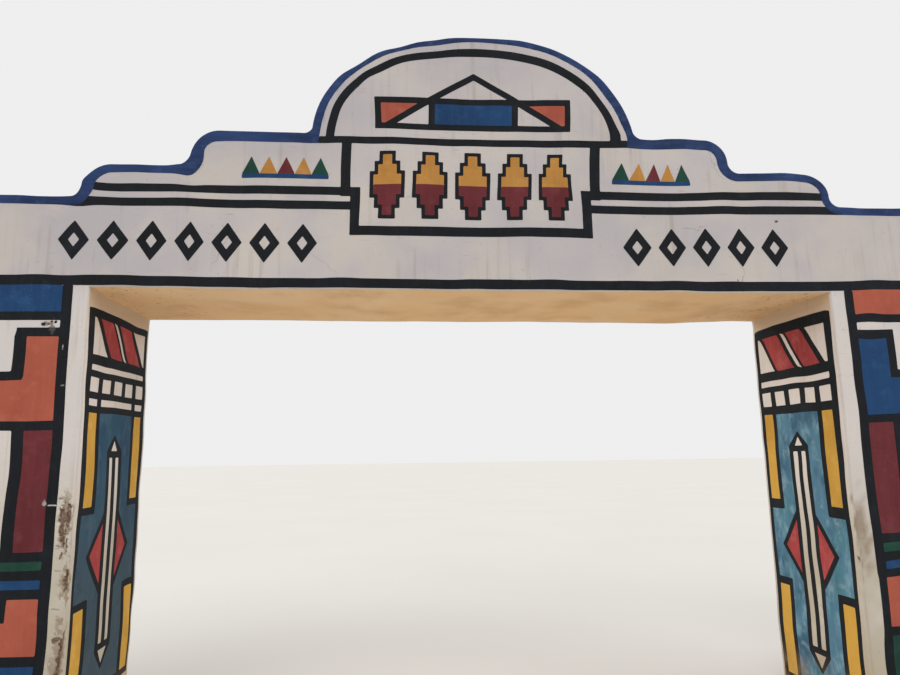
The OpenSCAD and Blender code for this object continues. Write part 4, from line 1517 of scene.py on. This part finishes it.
@dataclass
class Studio:
    """A plain pale floor, soft light and a camera at the photo's point of view."""

    eye: tuple[float, float, float] = (-0.504, -4.739, 1.72)
    lens: float = 27.04
    sensor: float = 36.0
    pitch: float = 10.10
    yaw: float = 4.53
    roll: float = -0.81
    floor_colour: str = "#e6e3de"
    floor_shade: str = "#dfdcd7"
    floor_half: float = 250.0
    far: float = 600.0
    sky_level: float = 0.62
    backdrop_level: float = 0.86

    def camera(self) -> None:
        """Sets up the camera from its turn to the right, its tilt up and its roll, in degrees."""
        pitch, yaw, roll = (math.radians(a) for a in (self.pitch, self.yaw, self.roll))
        ahead = Vector((math.sin(yaw) * math.cos(pitch), math.cos(yaw) * math.cos(pitch), math.sin(pitch)))
        level = Vector((math.cos(yaw), -math.sin(yaw), 0.0))
        above = level.cross(ahead)
        right = math.cos(roll) * level + math.sin(roll) * above
        up = -math.sin(roll) * level + math.cos(roll) * above
        data = bpy.data.cameras.new("photographer")
        data.lens, data.sensor_width, data.clip_end = self.lens, self.sensor, self.far
        camera = bpy.data.objects.new("photographer", data)
        turn = Matrix((right, up, -ahead)).transposed()
        camera.matrix_world = Matrix.Translation(self.eye) @ turn.to_4x4()
        bpy.context.scene.collection.objects.link(camera)
        bpy.context.scene.camera = camera

    def floor(self) -> None:
        """Lays the pale floor, a little below the gateway's foot so that the two don't touch."""
        mesh = bmesh.new()
        bmesh.ops.create_grid(mesh, x_segments=8, y_segments=8, size=self.floor_half)
        made = bpy.data.meshes.new("studio_floor")
        mesh.to_mesh(made)
        mesh.free()
        board = Board("pale_studio_floor")
        colour = board.layered(self.floor_colour, (self.floor_shade, board.cloud(4000, most=0.3)))
        normal = board.relief([(board.cloud(400), 0.2)])
        made.materials.append(board.finish(colour, normal, roughness=0.95, gloss=0.1))
        floor = bpy.data.objects.new("studio_floor", made)
        floor.location.z = -0.5 * MM
        bpy.context.scene.collection.objects.link(floor)

    def lamp(
        self, name: str, toward: tuple[float, float, float], level: float, softness: float, tint: str
    ) -> None:
        """Adds one broad lamp far away.

        Args:
            name: The lamp's name.
            toward: Direction in which its light travels.
            level: Its strength.
            softness: Width of the lamp in the sky, in degrees.
            tint: Its colour.
        """
        data = bpy.data.lights.new(name, "SUN")
        data.energy, data.angle, data.color = level, math.radians(softness), linear(tint)[:3]
        lamp = bpy.data.objects.new(name, data)
        lamp.rotation_mode = "QUATERNION"
        lamp.rotation_quaternion = Vector(toward).to_track_quat("-Z", "Y")
        bpy.context.scene.collection.objects.link(lamp)

    def backdrop(self) -> None:
        """Sets the even sky light, and the pale background that the camera sees."""
        world = bpy.data.worlds.new("studio")
        world.use_nodes = True
        world.node_tree.nodes.clear()
        add = partial(add_node, world.node_tree)
        rays = add("ShaderNodeLightPath").outputs
        seen = {0: rays["Is Camera Ray"], 1: rays["Is Glossy Ray"]}
        seen = add("ShaderNodeMath", seen, operation="MAXIMUM").outputs[0]
        level = {"Value": seen, "To Min": self.sky_level, "To Max": self.backdrop_level}
        level = add("ShaderNodeMapRange", level).outputs[0]
        light = add("ShaderNodeBackground", {"Strength": level, "Color": linear("#ffffff")})
        add("ShaderNodeOutputWorld", {"Surface": light.outputs[0]})
        bpy.context.scene.world = world

    def build(self) -> None:
        """Sets up the whole studio."""
        self.camera()
        self.floor()
        self.lamp("front_lamp", (0.50, 0.75, -0.55), 0.78, 50.0, "#ffffff")
        self.lamp("rear_lamp", (0.62, -0.60, -0.50), 0.8, 40.0, "#fffaf3")
        self.lamp("side_lamp", (-0.75, 0.28, -0.50), 1.05, 50.0, "#ffffff")
        self.backdrop()
        bpy.context.scene.view_settings.view_transform = "Standard"


def main() -> None:
    """Builds the gateway's looks in order."""
    logging.basicConfig(level=logging.INFO, format="%(message)s")
    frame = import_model()
    plan = SettingOut.from_frame()
    hand = HandWork(plan)
    cutter = Cutter(plan, hand)
    shelf = FinishShelf()
    Studio().build()
    Masonry().dress(frame["nodes"], shelf)
    for part in (Plasterwork(), Copings(), Mural()):
        part.build_and_dress(hand, cutter, shelf)


if __name__ == "__main__":
    main()
